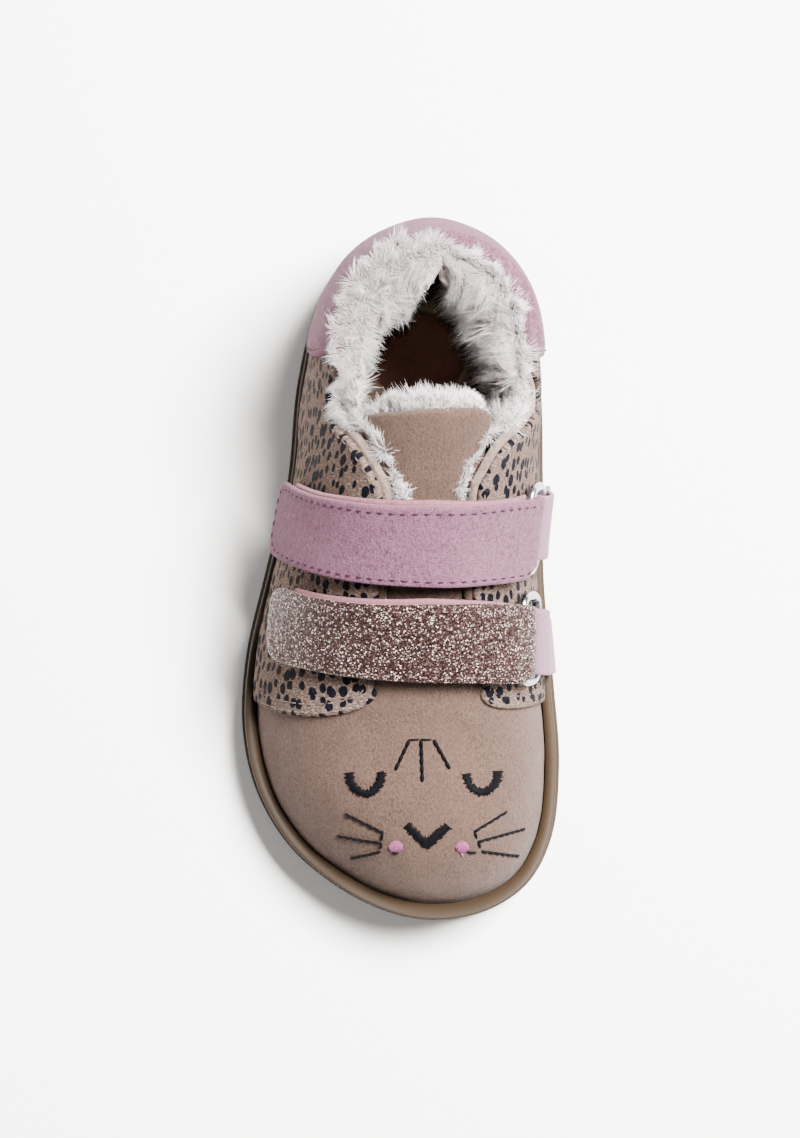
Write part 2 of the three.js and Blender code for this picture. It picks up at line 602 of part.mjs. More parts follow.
// Collar pile: a thick soft roll inside the edge, from one side of the tongue round the heel to the
// other, with hanging locks fused on.
function makeFur() {
  const first = -FUR_COLUMNS_PAST_HEEL;
  const last = HEEL_COLUMNS + FUR_COLUMNS_PAST_HEEL;
  const middle = (first + last) / 2;
  const fullness = (c) => {
    const away = Math.abs(c - middle) / (middle - first);
    return mix(1, FUR_END_DEPTH, smoothStep((away - 0.5) / 0.5));
  };
  const place3 = (c, drop, depth) => {
    const index = (c + COLUMNS.length) % COLUMNS.length;
    const share = edgeShare(c) - (drop * FUR_HEIGHT) / SKIN.lengths[index];
    return inColumn(c, share, -CLEARANCE - depth * FUR_DEPTH * fullness(c));
  };
  const points = [];
  const size = FUR_SECTION.length;
  for (let c = first; c <= last; c += 1) {
    FUR_SECTION.forEach((row) => points.push(place3(c, row.drop, row.depth)));
  }
  const triangles = [];
  for (let i = 0; i < last - first; i += 1) {
    for (let j = 0; j < size; j += 1) {
      const a = i * size + j;
      const b = i * size + ((j + 1) % size);
      triangles.push([a, b, b + size], [a, b + size, a + size]);
    }
  }
  const cap = (start, flip) => {
    for (let j = 1; j < size - 1; j += 1) {
      const corner = [start, start + j, start + j + 1];
      triangles.push(flip ? corner.reverse() : corner);
    }
  };
  cap(0, true);
  cap((last - first) * size, false);
  let roll = solidFrom(points, triangles);
  const tip = new THREE.Vector3();
  for (let c = first + 1; c < last; c += 1) {
    LOCK_ROWS.forEach(({ drop, depth }, row) => {
      if ((c + row) % 2 !== 0) return;
      const root = place3(c, drop, depth);
      tip.copy(place3(c, drop + 0.12, depth + 0.5 + 0.12 * ((c * 3 + row + 60) % 3)));
      const aim = tip.clone().sub(root).normalize();
      const cone = new THREE.ConeGeometry(LOCK_RADIUS, LOCK_LENGTH, LOCK_SIDES);
      const turn = new THREE.Quaternion().setFromUnitVectors(
        new THREE.Vector3(0, 1, 0), new THREE.Vector3(aim.x, -aim.y, aim.z));
      cone.applyQuaternion(turn);
      const centre = root.addScaledVector(aim, LOCK_LENGTH / 2 - LOCK_SINK);
      roll = roll.add(toSolid(cone.translate(centre.x, -centre.y, centre.z)));
    });
  }
  const beside = planBody(tongueOutline(TONGUE_ROOM, TONGUE_FUR_TOP));
  const clear = over((s) => topline(s) + OVERLAY + 2 * CLEARANCE, -0.3, 0.5);
  return roll.subtract(beside).intersect(lastSolid(-CLEARANCE).add(clear));
}

// Tongue seen from above, grown by a margin and drawn out to a top.
function tongueOutline(margin, top = TONGUE[0].along) {
  const axis = TONGUE_AXIS * BALL_WIDTH;
  const shift = top - TONGUE[0].along;
  const rows = TONGUE.map((row, i) => [row.half * BALL_WIDTH + margin,
    (row.along + (i < 2 ? shift : 0)) * LENGTH + (i === 0 ? -margin : 0)]);
  const line = smoothLine(rows, 10);
  const side = (sign) => line.map(([half, s]) => [axis + sign * half, s]);
  return [...side(1), ...side(-1).reverse()];
}

function makeTongue() {
  const sheet = lastSolid(TONGUE_DEPTH).subtract(lastSolid(TONGUE_DEPTH - TONGUE_THICKNESS));
  return sheet.intersect(planBody(tongueOutline(0), RIM_HEIGHT));
}

function makeTongueFur() {
  const outside = TONGUE_DEPTH - TONGUE_THICKNESS - CLEARANCE;
  const sheet = lastSolid(outside).subtract(lastSolid(outside - TONGUE_FUR));
  const end = TONGUE_FUR_END * LENGTH;
  const field = planBody([[-FAR, -FAR], [FAR, -FAR], [FAR, end], [-FAR, end]]);
  return sheet.intersect(planBody(tongueOutline(0, TONGUE_FUR_TOP), RIM_HEIGHT)).intersect(field);
}

// Points of the sole's outline moved inwards.
const outlineInset = (inset) => COLUMNS.map(({ foot, out }) => foot.clone().addScaledVector(out, -inset));

// Cup sole: tread, side wall with its lower band standing out, and the hollow for the upper.
function makeOutsole() {
  const bottomRing = (share) => COLUMNS.map(({ foot, out, station }) => {
    const edge = foot.clone().addScaledVector(out, -TREAD_ROUND);
    const middle = new THREE.Vector3(crownPoint(station).x, station, 0);
    const p = middle.lerp(edge, share);
    return p.setZ(spring(p.y));
  });
  const wallRing = (inset, height) => outlineInset(inset).map((p) => p.setZ(height(p.y) + spring(p.y)));
  const rimOf = (s) => rim(s) - spring(s);
  const topSpine = COLUMNS.map(({ station }) => new THREE.Vector3(
    crownPoint(station).x, station, rim(station)));
  const block = solidFromRings([
    bottomRing(0), bottomRing(0.6), bottomRing(1),
    wallRing(0, () => 0.5 * FOXING_HEIGHT),
    wallRing(0, () => FOXING_HEIGHT),
    wallRing(FOXING_STEP, () => FOXING_HEIGHT + FOXING_STEP / 2),
    wallRing(FOXING_STEP + WALL_DRAFT, (s) => rimOf(s) - RIM_ROUND),
    wallRing(FOXING_STEP + WALL_DRAFT + RIM_ROUND, (s) => rimOf(s)),
    topSpine,
  ]);
  const hollow = lastSolid(WALL + CLEARANCE).subtract(under(footbed));
  const grooves = makeGrooves();
  return block.subtract(hollow).subtract(grooves);
}

// Flex grooves across the tread, inside its plain border, and the lifted waist between them.
function makeGrooves() {
  const field = planBody(outlineInset(TREAD_BORDER).map((p) => [p.x, p.y]));
  const band = (s, width) => {
    const line = [];
    for (let i = 0; i <= 4; i += 1) {
      const x = (i / 4 - 0.5) * BALL_WIDTH;
      line.push([x, s + GROOVE_BOW * (1 - (2 * x / BALL_WIDTH) ** 2)]);
    }
    const back = line.map(([x, y]) => [x, y + width]).reverse();
    return planBody([...line, ...back], -FAR, GROOVE_DEPTH);
  };
  let grooves = band(WAIST.from * LENGTH, WAIST.length * LENGTH);
  GROOVED.forEach(({ from, to }) => {
    for (let s = from * LENGTH; s < to * LENGTH; s += GROOVE_PITCH) {
      grooves = grooves.add(band(s, GROOVE_WIDTH));
    }
  });
  return grooves.intersect(field);
}

// Footbed: lies on the sole inside the upper.
function makeInsole() {
  const base = (s) => footbed(s) + CLEARANCE;
  return lastSolid(-CLEARANCE).subtract(under(base))
    .subtract(over((s) => base(s) + INSOLE_THICKNESS));
}

// Where a strap's middle line runs, how wide it is, and the measures of its two sides.
function strapCourse({ along, outerSweep, innerSweep, tip, bar }) {
  const station = along * LENGTH;
  const bend = (share) => (share < 1 ? share ** 2 : 2 * share - 1);
  const middle = (way) => station
    - LENGTH * (way < 0 ? outerSweep * bend(-way / tip) : innerSweep * bend(way / bar));
  const half = (way) => STRAP_HALF_WIDTH * mix(1, STRAP_END_NARROWING, Math.min(Math.abs(way) / bar, 1));
  const perMm = 1 / wayLength(station, 1);
  const perMmOuter = 1 / wayLength(station, -1);
  return { middle, half, perMm, perMmOuter };
}

// Places from one way to another, with each row of the skin between them.
function rowSteps(from, to) {
  const steps = [from];
  const half = 1 / (2 * WALL_ROWS);
  for (let k = Math.ceil(from / half); k * half < to; k += 1) {
    const onRow = k % 2 === 0 || to - k * half < 0.16;
    if (onRow && k * half - steps[steps.length - 1] > 0.2 * half && to - k * half > 0.2 * half) {
      steps.push(k * half);
    }
  }
  return [...steps, to];
}

// A band over the skin from pairs of points on its two faces, each a [way, depth], repeated across
// its width. The pairs run along the band, round its folds too.
function bandSolid(pairs, course, widths, shift = () => 0, scale = 1) {
  const section = [...pairs.map(([face]) => face), ...pairs.map(([, back]) => back).reverse()];
  const size = section.length;
  const points = widths.flatMap((w) => section.map(([way, depth]) => {
    const moved = way + shift(way, w);
    return onSkin(course.middle(moved) + w * scale * course.half(moved), moved, depth);
  }));
  const triangles = [];
  for (let i = 0; i < widths.length - 1; i += 1) {
    for (let j = 0; j < size; j += 1) {
      const a = i * size + j;
      const b = i * size + ((j + 1) % size);
      triangles.push([a, b, b + size], [a, b + size, a + size]);
    }
  }
  const far = (widths.length - 1) * size;
  for (let j = 0; j < pairs.length - 1; j += 1) {
    const [a, b, c, d] = [j, j + 1, size - 2 - j, size - 1 - j];
    triangles.push([b, a, c], [c, a, d]);
    triangles.push([a + far, b + far, c + far], [a + far, c + far, d + far]);
  }
  return solidFrom(points, triangles);
}

const STRAP_WIDTHS = [-1, -0.8, 0, 0.8, 1];

// Strap: fixed on the outer side, over the tongue, round the loop's inner bar and back to its free end.
function makeStrap(spec, loopBody) {
  const course = strapCourse(spec);
  const { perMm, perMmOuter } = course;
  const bar = spec.bar;
  const inner = WIRE_RADIUS + CLEARANCE;
  const outer = inner + STRAP_THICKNESS;
  const restIn = STRAP_IN + STRAP_THICKNESS + STRAP_SLIT;
  const climb = STRAP_CLIMB * perMm;
  const upperIn = (way) => mix(restIn, WIRE_DEPTH + inner, smoothStep((way - bar + climb) / climb));
  const arc = (radius, from) => Array.from({ length: 6 }, (_, i) => {
    const turn = from * (1 - i / 2.5);
    return [bar + radius * perMm * Math.cos(turn), WIRE_DEPTH + radius * Math.sin(turn)];
  });
  const under = rowSteps(-spec.anchor, bar);
  const overBar = rowSteps(-spec.tip, bar);
  const [roundOut, roundIn] = [arc(outer, -Math.PI / 2), arc(inner, -Math.PI / 2)];
  const pairs = [
    ...under.slice(0, -1).map((way) => [[way, STRAP_IN], [way, STRAP_IN + STRAP_THICKNESS]]),
    ...roundOut.map((point, i) => [point, roundIn[i]]),
    ...overBar.reverse().slice(1).map((way) => [[way, upperIn(way) + STRAP_THICKNESS], [way, upperIn(way)]]),
  ];
  const corner = TIP_CORNER * perMmOuter;
  const shift = (way, w) => {
    const end = (spec.tip + way) / (spec.tip * 0.35);
    const back = corner * (1 - Math.sqrt(Math.max(1 - w ** 4, 0)));
    return end < 1 && end >= 0 ? back * (1 - end) : 0;
  };
  return bandSolid(pairs, course, STRAP_WIDTHS, shift).subtract(loopBody);
}

// Frame of a metal loop: it lies flat over the side, its two long bars along the shoe.
function loopFrame(spec) {
  const course = strapCourse(spec);
  const across = LOOP_WIDTH * course.perMm;
  const at = (way, step) => onSkin(course.middle(spec.bar) + step, way, WIRE_DEPTH);
  const innerBar = at(spec.bar, 0);
  const outerBar = at(spec.bar + across, 0);
  const along = at(spec.bar + across / 2, STRAP_HALF_WIDTH).sub(at(spec.bar + across / 2, -STRAP_HALF_WIDTH));
  along.normalize();
  const acrossAxis = outerBar.clone().sub(innerBar);
  acrossAxis.addScaledVector(along, -acrossAxis.dot(along)).normalize();
  return {
    centre: innerBar.clone().addScaledVector(acrossAxis, LOOP_WIDTH / 2),
    along,
    across: acrossAxis,
    normal: along.clone().cross(acrossAxis),
    outerWay: spec.bar + across,
    course,
  };
}

// Wire loop: a rounded rectangle of round wire.
function makeLoop(spec, radius, sides) {
  const { centre, along, across, normal } = loopFrame(spec);
  const halfLong = STRAP_HALF_WIDTH * STRAP_END_NARROWING + LOOP_PLAY + WIRE_RADIUS;
  const halfWide = LOOP_WIDTH / 2;
  const corners = [[1, 1, 0], [-1, 1, 1], [-1, -1, 2], [1, -1, 3]];
  const path = corners.flatMap(([a, b, quarter]) => [0, 1, 2, 3].map((i) => {
    const turn = (Math.PI / 2) * (quarter + i / 3);
    return [a * (halfLong - LOOP_CORNER) + LOOP_CORNER * Math.cos(turn),
      b * (halfWide - LOOP_CORNER) + LOOP_CORNER * Math.sin(turn)];
  }));
  const centreLine = path.map(([a, b]) => centre.clone().addScaledVector(along, a).addScaledVector(across, b));
  const count = centreLine.length;
  const points = centreLine.flatMap((p, i) => {
    const tangent = centreLine[(i + 1) % count].clone().sub(centreLine[(i + count - 1) % count]).normalize();
    const sideways = tangent.clone().cross(normal).normalize();
    return Array.from({ length: sides }, (_, k) => {
      const turn = (2 * Math.PI * k) / sides;
      return p.clone().addScaledVector(sideways, radius * Math.cos(turn))
        .addScaledVector(normal, radius * Math.sin(turn));
    });
  });
  const triangles = [];
  for (let i = 0; i < count; i += 1) {
    for (let k = 0; k < sides; k += 1) {
      const a = i * sides + k;
      const b = i * sides + ((k + 1) % sides);
      const c = ((i + 1) % count) * sides + k;
      const d = ((i + 1) % count) * sides + ((k + 1) % sides);
      triangles.push([a, b, d], [a, d, c]);
    }
  }
  return solidFrom(points, triangles);
}

// Tab: a doubled strip round the loop's outer bar, fixed to the quarter lower down the side.
function makeTab(spec, loopBody) {
  const { course, outerWay } = loopFrame(spec);
  const radius = WIRE_RADIUS + CLEARANCE + TAB_FOLD;
  const end = outerWay + TAB_LENGTH * course.perMm;
  const flat = STRAP_IN + TAB_THICKNESS;
  const steps = [0, 0.15, 0.3, 0.45, 0.6, 0.8, 1];
  const top = (t) => mix(WIRE_DEPTH + radius, flat, smoothStep(t / 0.55));
  const nose = [0.25, 0.5, 0.75, 1].map((i) => (Math.PI / 2) * i);
  const pairs = [
    ...steps.reverse().map((t) => [[mix(outerWay, end, t), STRAP_IN], [mix(outerWay, end, t), top(t)]]),
    ...nose.map((turn) => {
      const way = outerWay - radius * course.perMm * Math.sin(turn);
      const reach = radius * Math.cos(turn);
      return [[way, Math.max(WIRE_DEPTH - reach, STRAP_IN)], [way, WIRE_DEPTH + reach]];
    }),
  ];
  return bandSolid(pairs, course, [-1, -0.5, 0, 0.5, 1], () => 0, TAB_NARROWING).subtract(loopBody);
}

place('outsole', makeOutsole(), 'rubber');
place('insole', makeInsole(), 'insole');
place('upper', makeUpper(), 'suede');
place('quarter_outer', makeQuarter(OUTER_FRONT, -1), 'spotted');
place('quarter_inner', makeQuarter(INNER_FRONT, 1), 'spotted');
place('heel_piece', makeHeelPiece(), 'pink');
place('collar_fur', makeFur(), 'fur');
place('tongue', makeTongue(), 'suede');
place('tongue_fur', makeTongueFur(), 'fur');
Object.entries(STRAPS).forEach(([name, spec]) => {
  const finish = name === 'upper' ? 'pink' : 'glitter';
  const room = makeLoop(spec, WIRE_RADIUS + CLEARANCE, LOOP_SIDES);
  place(`loop_${name}`, makeLoop(spec, WIRE_RADIUS, LOOP_SIDES), 'metal');
  place(`strap_${name}`, makeStrap(spec, room), finish);
  place(`loop_tab_${name}`, makeTab(spec, room), finish);
});

// The origin is on the floor, under the middle of the shoe.
const shoe = new THREE.Group();
PLACED.forEach((mesh) => shoe.add(mesh));
const bounds = new THREE.Box3().setFromObject(shoe);
shoe.position.set(-(bounds.min.x + bounds.max.x) / 2, -(bounds.min.y + bounds.max.y) / 2, -bounds.min.z);

export default shoe;
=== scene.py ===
"""Looks of the toddler's barefoot sneaker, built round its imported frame.

Lengths are millimetres in the shoe's own frame until a mesh is made: x to the inner side, s from the
heel end to the toe, z up, and depth along the outward normal of the last.
"""

import math

import bpy
import numpy as np
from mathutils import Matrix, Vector

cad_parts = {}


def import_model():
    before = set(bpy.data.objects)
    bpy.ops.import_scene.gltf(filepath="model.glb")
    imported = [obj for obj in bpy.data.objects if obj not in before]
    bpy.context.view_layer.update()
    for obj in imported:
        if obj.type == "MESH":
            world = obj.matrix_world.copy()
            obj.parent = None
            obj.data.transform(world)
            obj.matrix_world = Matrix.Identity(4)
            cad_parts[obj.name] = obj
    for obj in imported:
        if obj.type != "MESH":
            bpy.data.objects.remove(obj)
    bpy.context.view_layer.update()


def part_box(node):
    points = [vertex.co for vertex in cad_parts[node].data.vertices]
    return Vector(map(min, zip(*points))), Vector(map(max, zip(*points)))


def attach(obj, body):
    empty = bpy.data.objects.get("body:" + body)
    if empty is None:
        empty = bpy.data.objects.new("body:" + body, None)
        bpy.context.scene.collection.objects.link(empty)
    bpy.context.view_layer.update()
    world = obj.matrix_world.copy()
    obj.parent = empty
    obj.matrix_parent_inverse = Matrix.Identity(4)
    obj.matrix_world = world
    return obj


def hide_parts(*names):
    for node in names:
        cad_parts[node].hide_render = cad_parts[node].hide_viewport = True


MM = 1000  # millimetres in a metre

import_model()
random = np.random.default_rng(22)


def table(names, rows):
    """A table with named columns."""
    return dict(zip(names.split(), np.array(rows, float).T))


# Driving sizes of the shoe, as in the solids
LENGTH = 153.5
BALL_WIDTH = 70.5
INSTEP_HEIGHT = 66
HEEL_HEIGHT = 56.5
TOE_SPRING = 6
HEEL_LIFT = 1.2
SOLE_THICKNESS = 4
RIM_HEIGHT = 11
RIM_WIDTH = 2.6
FOXING_HEIGHT = 3
FOXING_STEP = 0.7
WALL_DRAFT = 0.3
RIM_ROUND = 0.6
TREAD_ROUND = 1.4
GROOVE_WIDTH = 1.4
GROOVE_DEPTH = 1.3
GROOVE_PITCH = 9.5
GROOVE_BOW = 3
TREAD_BORDER = 6
WALL = 1.4
CLEARANCE = 0.3
LAST_FLOOR = 1
TONGUE_THICKNESS = 2
TONGUE_ROOM = 0.5
TONGUE_FUR = 3.6
FUR_DEPTH = 10.5
FUR_HEIGHT = 27
STRAP_HALF_WIDTH = 8.1
STRAP_THICKNESS = 1.4
STRAP_SLIT = 0.5
WIRE_RADIUS = 1
LOOP_WIDTH = 6.6
LOOP_CORNER = 2.2
LOOP_PLAY = 0.6
STRAP_CLIMB = 13
TAB_LENGTH = 15
TAB_NARROWING = 0.93
TAB_THICKNESS = 2.2
TAB_FOLD = 1.1
STRAP_END_NARROWING = 0.93
TIP_CORNER = 4.5

OUTLINE = table("along across", [
    (0.0, 0.08), (0.032, -0.128), (0.103, -0.252), (0.226, -0.325), (0.374, -0.359), (0.503, -0.428),
    (0.626, -0.489), (0.729, -0.499), (0.819, -0.454), (0.897, -0.35), (0.955, -0.196), (0.99, -0.035),
    (1.0, 0.105), (0.987, 0.267), (0.948, 0.397), (0.884, 0.471), (0.781, 0.496), (0.665, 0.479),
    (0.516, 0.448), (0.361, 0.445), (0.232, 0.437), (0.103, 0.387), (0.032, 0.268),
])
SECTIONS = table("along crown axis up side lean swell tuck", [
    (0.0, 1.03, 0.08, 2.9, 2.8, 0.066, 0.008, 0.012),
    (0.18, 1.03, 0.08, 3.2, 3.4, 0.066, 0.009, 0.008),
    (0.25, 1.015, 0.078, 2.7, 2.75, 0.074, 0.009, 0.004),
    (0.3, 0.985, 0.076, 2.45, 2.45, 0.058, 0.008, 0.0),
    (0.36, 0.91, 0.075, 2.3, 2.3, 0.026, 0.007, 0.0),
    (0.45, 0.795, 0.075, 2.15, 2.2, 0.0, 0.006, 0.0),
    (0.53, 0.705, 0.075, 2.1, 2.2, 0.0, 0.004, 0.0),
    (0.6, 0.635, 0.073, 2.1, 2.25, 0.0, 0.003, 0.0),
    (0.68, 0.565, 0.07, 2.1, 2.3, 0.0, 0.002, 0.0),
    (0.76, 0.515, 0.066, 2.1, 2.35, 0.0, 0.002, 0.0),
    (1.0, 0.47, 0.066, 2.05, 2.35, 0.0, 0.002, 0.0),
])
TOPLINE = table("along height", [
    (-0.06, 1.0), (0.05, 0.997), (0.1, 0.955), (0.15, 0.92), (0.2, 0.903), (0.25, 0.92), (0.295, 0.962),
    (0.325, 1.03), (0.36, 1.13),
])
THROAT = table("along outer inner", [
    (0.16, -0.06, 0.22), (0.25, -0.17, 0.372), (0.29, -0.168, 0.35), (0.325, -0.106, 0.274),
    (0.365, -0.054, 0.221), (0.4, -0.028, 0.194), (0.525, -0.042, 0.184), (0.605, -0.05, 0.196),
])
QUARTER_THROAT_END = (0.66, -0.058, 0.218)
OUTER_FRONT = table("along across", [
    (0.635, -0.055), (0.66, -0.061), (0.68, -0.09), (0.694, -0.155), (0.701, -0.247), (0.698, -0.357),
    (0.682, -0.455), (0.66, -0.6),
])
INNER_FRONT = table("along across", [
    (0.64, 0.212), (0.665, 0.22), (0.682, 0.24), (0.69, 0.285), (0.692, 0.357), (0.684, 0.452),
    (0.664, 0.6),
])
HEEL_PIECE_FRONT = table("along height", [
    (0.2, 1.2), (0.205, 0.9), (0.208, 0.7), (0.2, 0.5), (0.178, 0.33), (0.15, 0.2), (0.13, 0.0),
])
RIM_LINE = table("along height", [(0.0, 1.18), (0.15, 1.1), (0.4, 1.0), (0.7, 1.0), (0.9, 1.1), (1.0, 1.2)])
TONGUE = table("along half", [
    (0.288, 0.18), (0.296, 0.209), (0.33, 0.195), (0.42, 0.17), (0.55, 0.155), (0.645, 0.135),
])
FUR_SECTION = table("drop depth", [
    (0.05, 0.0), (-0.08, 0.12), (-0.13, 0.42), (-0.05, 0.8), (0.14, 1.0), (0.42, 0.98), (0.7, 0.8),
    (0.92, 0.45), (1.0, 0.0), (0.5, 0.0),
])
STRAPS = {
    "upper": {"along": 0.45, "outer_sweep": 0.028, "inner_sweep": 0.011, "tip": 0.66, "anchor": 0.56,
              "bar": 0.365, "loop_spread": 0.14, "loop_drift": 0.7, "slot": "pink_suede"},
    "lower": {"along": 0.584, "outer_sweep": 0.018, "inner_sweep": -0.007, "tip": 0.57, "anchor": 0.47,
              "bar": 0.365, "loop_spread": 0.06, "loop_drift": 0.3, "slot": "rose_glitter"},
}
HEEL_POLE = 0.175
TOE_POLE = 0.79
HEEL_LIFT_REACH = 0.07
BOW_REACH = 0.8  # share of a column's height over which its side swells
TONGUE_AXIS = 0.069
TONGUE_FUR_END = 0.44
TONGUE_FUR_TOP = 0.272
FUR_PAST_HEEL = 0.132  # share of LENGTH that the pile runs forward of the heel's pole
FUR_END_DEPTH = 0.5
WAIST = (0.42, 0.08)
GROOVED = ((0.075, 0.4), (0.52, 0.83))

# Depths of the layers over the last. Sewn layers lie closer here than in the solids.
SEWN = 0.06
QUARTER_IN = WALL + SEWN
QUARTER_OUT = 2.7
HEEL_IN = QUARTER_OUT + SEWN
HEEL_OUT = 4.0
STRAP_IN = 3.2
WIRE_DEPTH = STRAP_IN + STRAP_THICKNESS + CLEARANCE + WIRE_RADIUS
LAST_INSET = RIM_WIDTH + CLEARANCE + WALL
LINING_EDGE = 1.3  # lining that shows past the quarters along the throat

# Fineness
HEEL_COLUMNS = 72
SIDE_COLUMNS = 84
TOE_COLUMNS = 88
WALL_ROWS = 60
WALL_STEPS = 160
OUTLINE_STEPS = 40
LINE_STEPS = 80


def mix(a, b, t):
    """Value at a share of the way from a to b."""
    return a + (b - a) * t


def smooth_step(t):
    """0 to 1, with a level start and end."""
    t = np.clip(t, 0, 1)
    return t * t * (3 - 2 * t)


def unit(vectors):
    """Vectors made one long."""
    return vectors / np.maximum(np.linalg.norm(vectors, axis=-1, keepdims=True), 1e-9)


def read(rows, name, along):
    """Value of a table's column at a share of the length, on a smooth curve through its rows."""
    at, value = rows["along"], rows[name]
    last = len(at) - 1
    along = np.asarray(along, float)
    k = np.clip(np.searchsorted(at, along, side="right") - 1, 0, last - 1)

    def slope(i):
        before, after = np.maximum(i - 1, 0), np.minimum(i + 1, last)
        return (value[after] - value[before]) / (at[after] - at[before])

    span = at[k + 1] - at[k]
    t = np.clip((along - at[k]) / span, 0, 1)
    return mix(value[k], value[k + 1], smooth_step(t)) + span * (
        t * (1 - t) ** 2 * slope(k) - t * t * (1 - t) * slope(k + 1))


def spring(s):
    """Rise of the sole towards toe and heel."""
    toe = np.clip((s / LENGTH - TOE_POLE) / (1 - TOE_POLE), 0, 1)
    heel = np.clip(1 - s / (HEEL_LIFT_REACH * LENGTH), 0, 1)
    return TOE_SPRING * toe**2 + HEEL_LIFT * heel**2


def footbed(s):
    """Height of the sole's floor inside the shoe."""
    return SOLE_THICKNESS + spring(s)


def rim(s):
    """Height of the sole's rim."""
    return RIM_HEIGHT * read(RIM_LINE, "height", s / LENGTH) + spring(s)


def topline(s):
    """Height of the collar's edge."""
    return HEEL_HEIGHT * read(TOPLINE, "height", s / LENGTH)


def smooth_line(points, count):
    """Smooth open line through points."""
    points = np.asarray(points, float)
    last = len(points) - 1
    at = np.linspace(0, last, count + 1)
    k = np.minimum(at.astype(int), last - 1)
    t = (at - k)[:, None]
    p0, p1, p2, p3 = (points[np.clip(k + i, 0, last)] for i in (-1, 0, 1, 2))
    v0, v1 = (p2 - p0) / 2, (p3 - p1) / 2
    return (2 * (p1 - p2) + v0 + v1) * t**3 + (3 * (p2 - p1) - 2 * v0 - v1) * t**2 + v0 * t + p1


def closed_line(points, each):
    """Smooth closed line through points, with its pace set by the root of their distances."""
    points = np.asarray(points, float)
    made = []
    t = (np.arange(each) / each)[:, None]
    for k in range(len(points)):
        p0, p1, p2, p3 = (points[(k + i) % len(points)] for i in (-1, 0, 1, 2))
        d0, d1, d2 = (math.sqrt(np.linalg.norm(b - a)) for a, b in ((p0, p1), (p1, p2), (p2, p3)))
        t1 = ((p1 - p0) / d0 - (p2 - p0) / (d0 + d1) + (p2 - p1) / d1) * d1
        t2 = ((p2 - p1) / d1 - (p3 - p1) / (d1 + d2) + (p3 - p2) / d2) * d1
        made.append(p1 + t1 * t + (3 * (p2 - p1) - 2 * t1 - t2) * t**2 + (2 * (p1 - p2) + t1 + t2) * t**3)
    return np.concatenate(made)


def steps_of(line):
    """Lengths of a line's steps."""
    return np.linalg.norm(np.diff(line, axis=0), axis=1)


def reach_of(line):
    """How far along a line each of its points lies."""
    return np.concatenate([[0], np.cumsum(steps_of(line))])


def spread_evenly(line, count):
    """The same line with points at equal distances."""
    reach = reach_of(line)
    at = np.linspace(0, reach[-1], count + 1)
    return np.stack([np.interp(at, reach, line[:, k]) for k in range(line.shape[1])], axis=1)


def make_columns():
    """Columns of the skin all round the sole: foot on the outline, outward direction, crown station."""
    outline = closed_line(np.stack([OUTLINE["across"] * BALL_WIDTH, OUTLINE["along"] * LENGTH], axis=1),
                          OUTLINE_STEPS)
    heel, toe = outline[:, 1].argmin(), outline[:, 1].argmax()
    ahead = np.roll(outline, -heel, axis=0)
    turn = (toe - heel) % len(outline)
    sides = [ahead[:turn + 1], np.concatenate([ahead[:1], ahead[:turn - 1:-1]])]

    def at(side, s):
        return np.stack([np.interp(s, side[:, 1], side[:, 0]), np.full(np.shape(s), s)], axis=-1)

    heel_pole, toe_pole = HEEL_POLE * LENGTH, TOE_POLE * LENGTH
    ends = [np.concatenate([side[side[:, 1] < heel_pole], [at(side, heel_pole)]]) for side in sides]
    heel_fan = spread_evenly(np.concatenate([ends[1][::-1], ends[0][1:]]), HEEL_COLUMNS)
    ends = [np.concatenate([[at(side, toe_pole)], side[side[:, 1] > toe_pole]]) for side in sides]
    toe_fan = spread_evenly(np.concatenate([ends[0], ends[1][::-1][1:]]), TOE_COLUMNS)
    stations = mix(heel_pole, toe_pole, np.arange(1, SIDE_COLUMNS) / SIDE_COLUMNS)
    foot = np.concatenate([heel_fan, at(sides[0], stations), toe_fan, at(sides[1], stations)[::-1]])
    station = np.concatenate([np.full(len(heel_fan), heel_pole), stations,
                              np.full(len(toe_fan), toe_pole), stations[::-1]])
    step = np.roll(foot, -1, axis=0) - np.roll(foot, 1, axis=0)
    out = unit(np.stack([-step[:, 1], step[:, 0]], axis=1))
    return outline, foot, out, station


SOLE_OUTLINE, FOOT, OUT, STATION = make_columns()
COLUMNS = len(FOOT)


def wall_lines():
    """Columns of the last's surface from the foot at the sole's edge up to the crown."""
    axis = BALL_WIDTH * read(SECTIONS, "axis", STATION / LENGTH)[:, None]
    lean = BALL_WIDTH * read(SECTIONS, "lean", STATION / LENGTH)[:, None]
    inset = LAST_INSET + BALL_WIDTH * read(SECTIONS, "tuck", FOOT[:, 1] / LENGTH)
    foot = FOOT - OUT * inset[:, None]
    along = foot[:, 1] / LENGTH
    up, side = (read(SECTIONS, name, along)[:, None] for name in ("up", "side"))
    swell = BALL_WIDTH * read(SECTIONS, "swell", along)[:, None]
    angle = np.linspace(0, math.pi / 2, WALL_STEPS + 1)[None, :]
    spread = np.clip(np.cos(angle), 0, 1) ** (2 / side)
    height = np.sin(angle) ** (2 / up)
    bow = swell * np.sin(math.pi * np.minimum(height / BOW_REACH, 1))
    x = mix(axis, foot[:, :1], spread) + lean * height**2 + OUT[:, :1] * bow
    s = mix(STATION[:, None], foot[:, 1:], spread) + OUT[:, 1:] * bow
    z = mix(LAST_FLOOR, INSTEP_HEIGHT * read(SECTIONS, "crown", s / LENGTH), height) + spring(s)
    return np.stack([x, s, z], axis=2)


LINES = wall_lines()
WALL_LENGTHS = np.linalg.norm(np.diff(LINES, axis=1), axis=2).sum(1)
GRID = np.stack([spread_evenly(line, WALL_ROWS) for line in LINES])


def without_slivers(tris, *others):
    """Triangles that use three different points, and the same rows of what goes with them."""
    good = (tris != np.roll(tris, 1, axis=1)).all(1)
    return [rows[good] for rows in (tris, *others)]


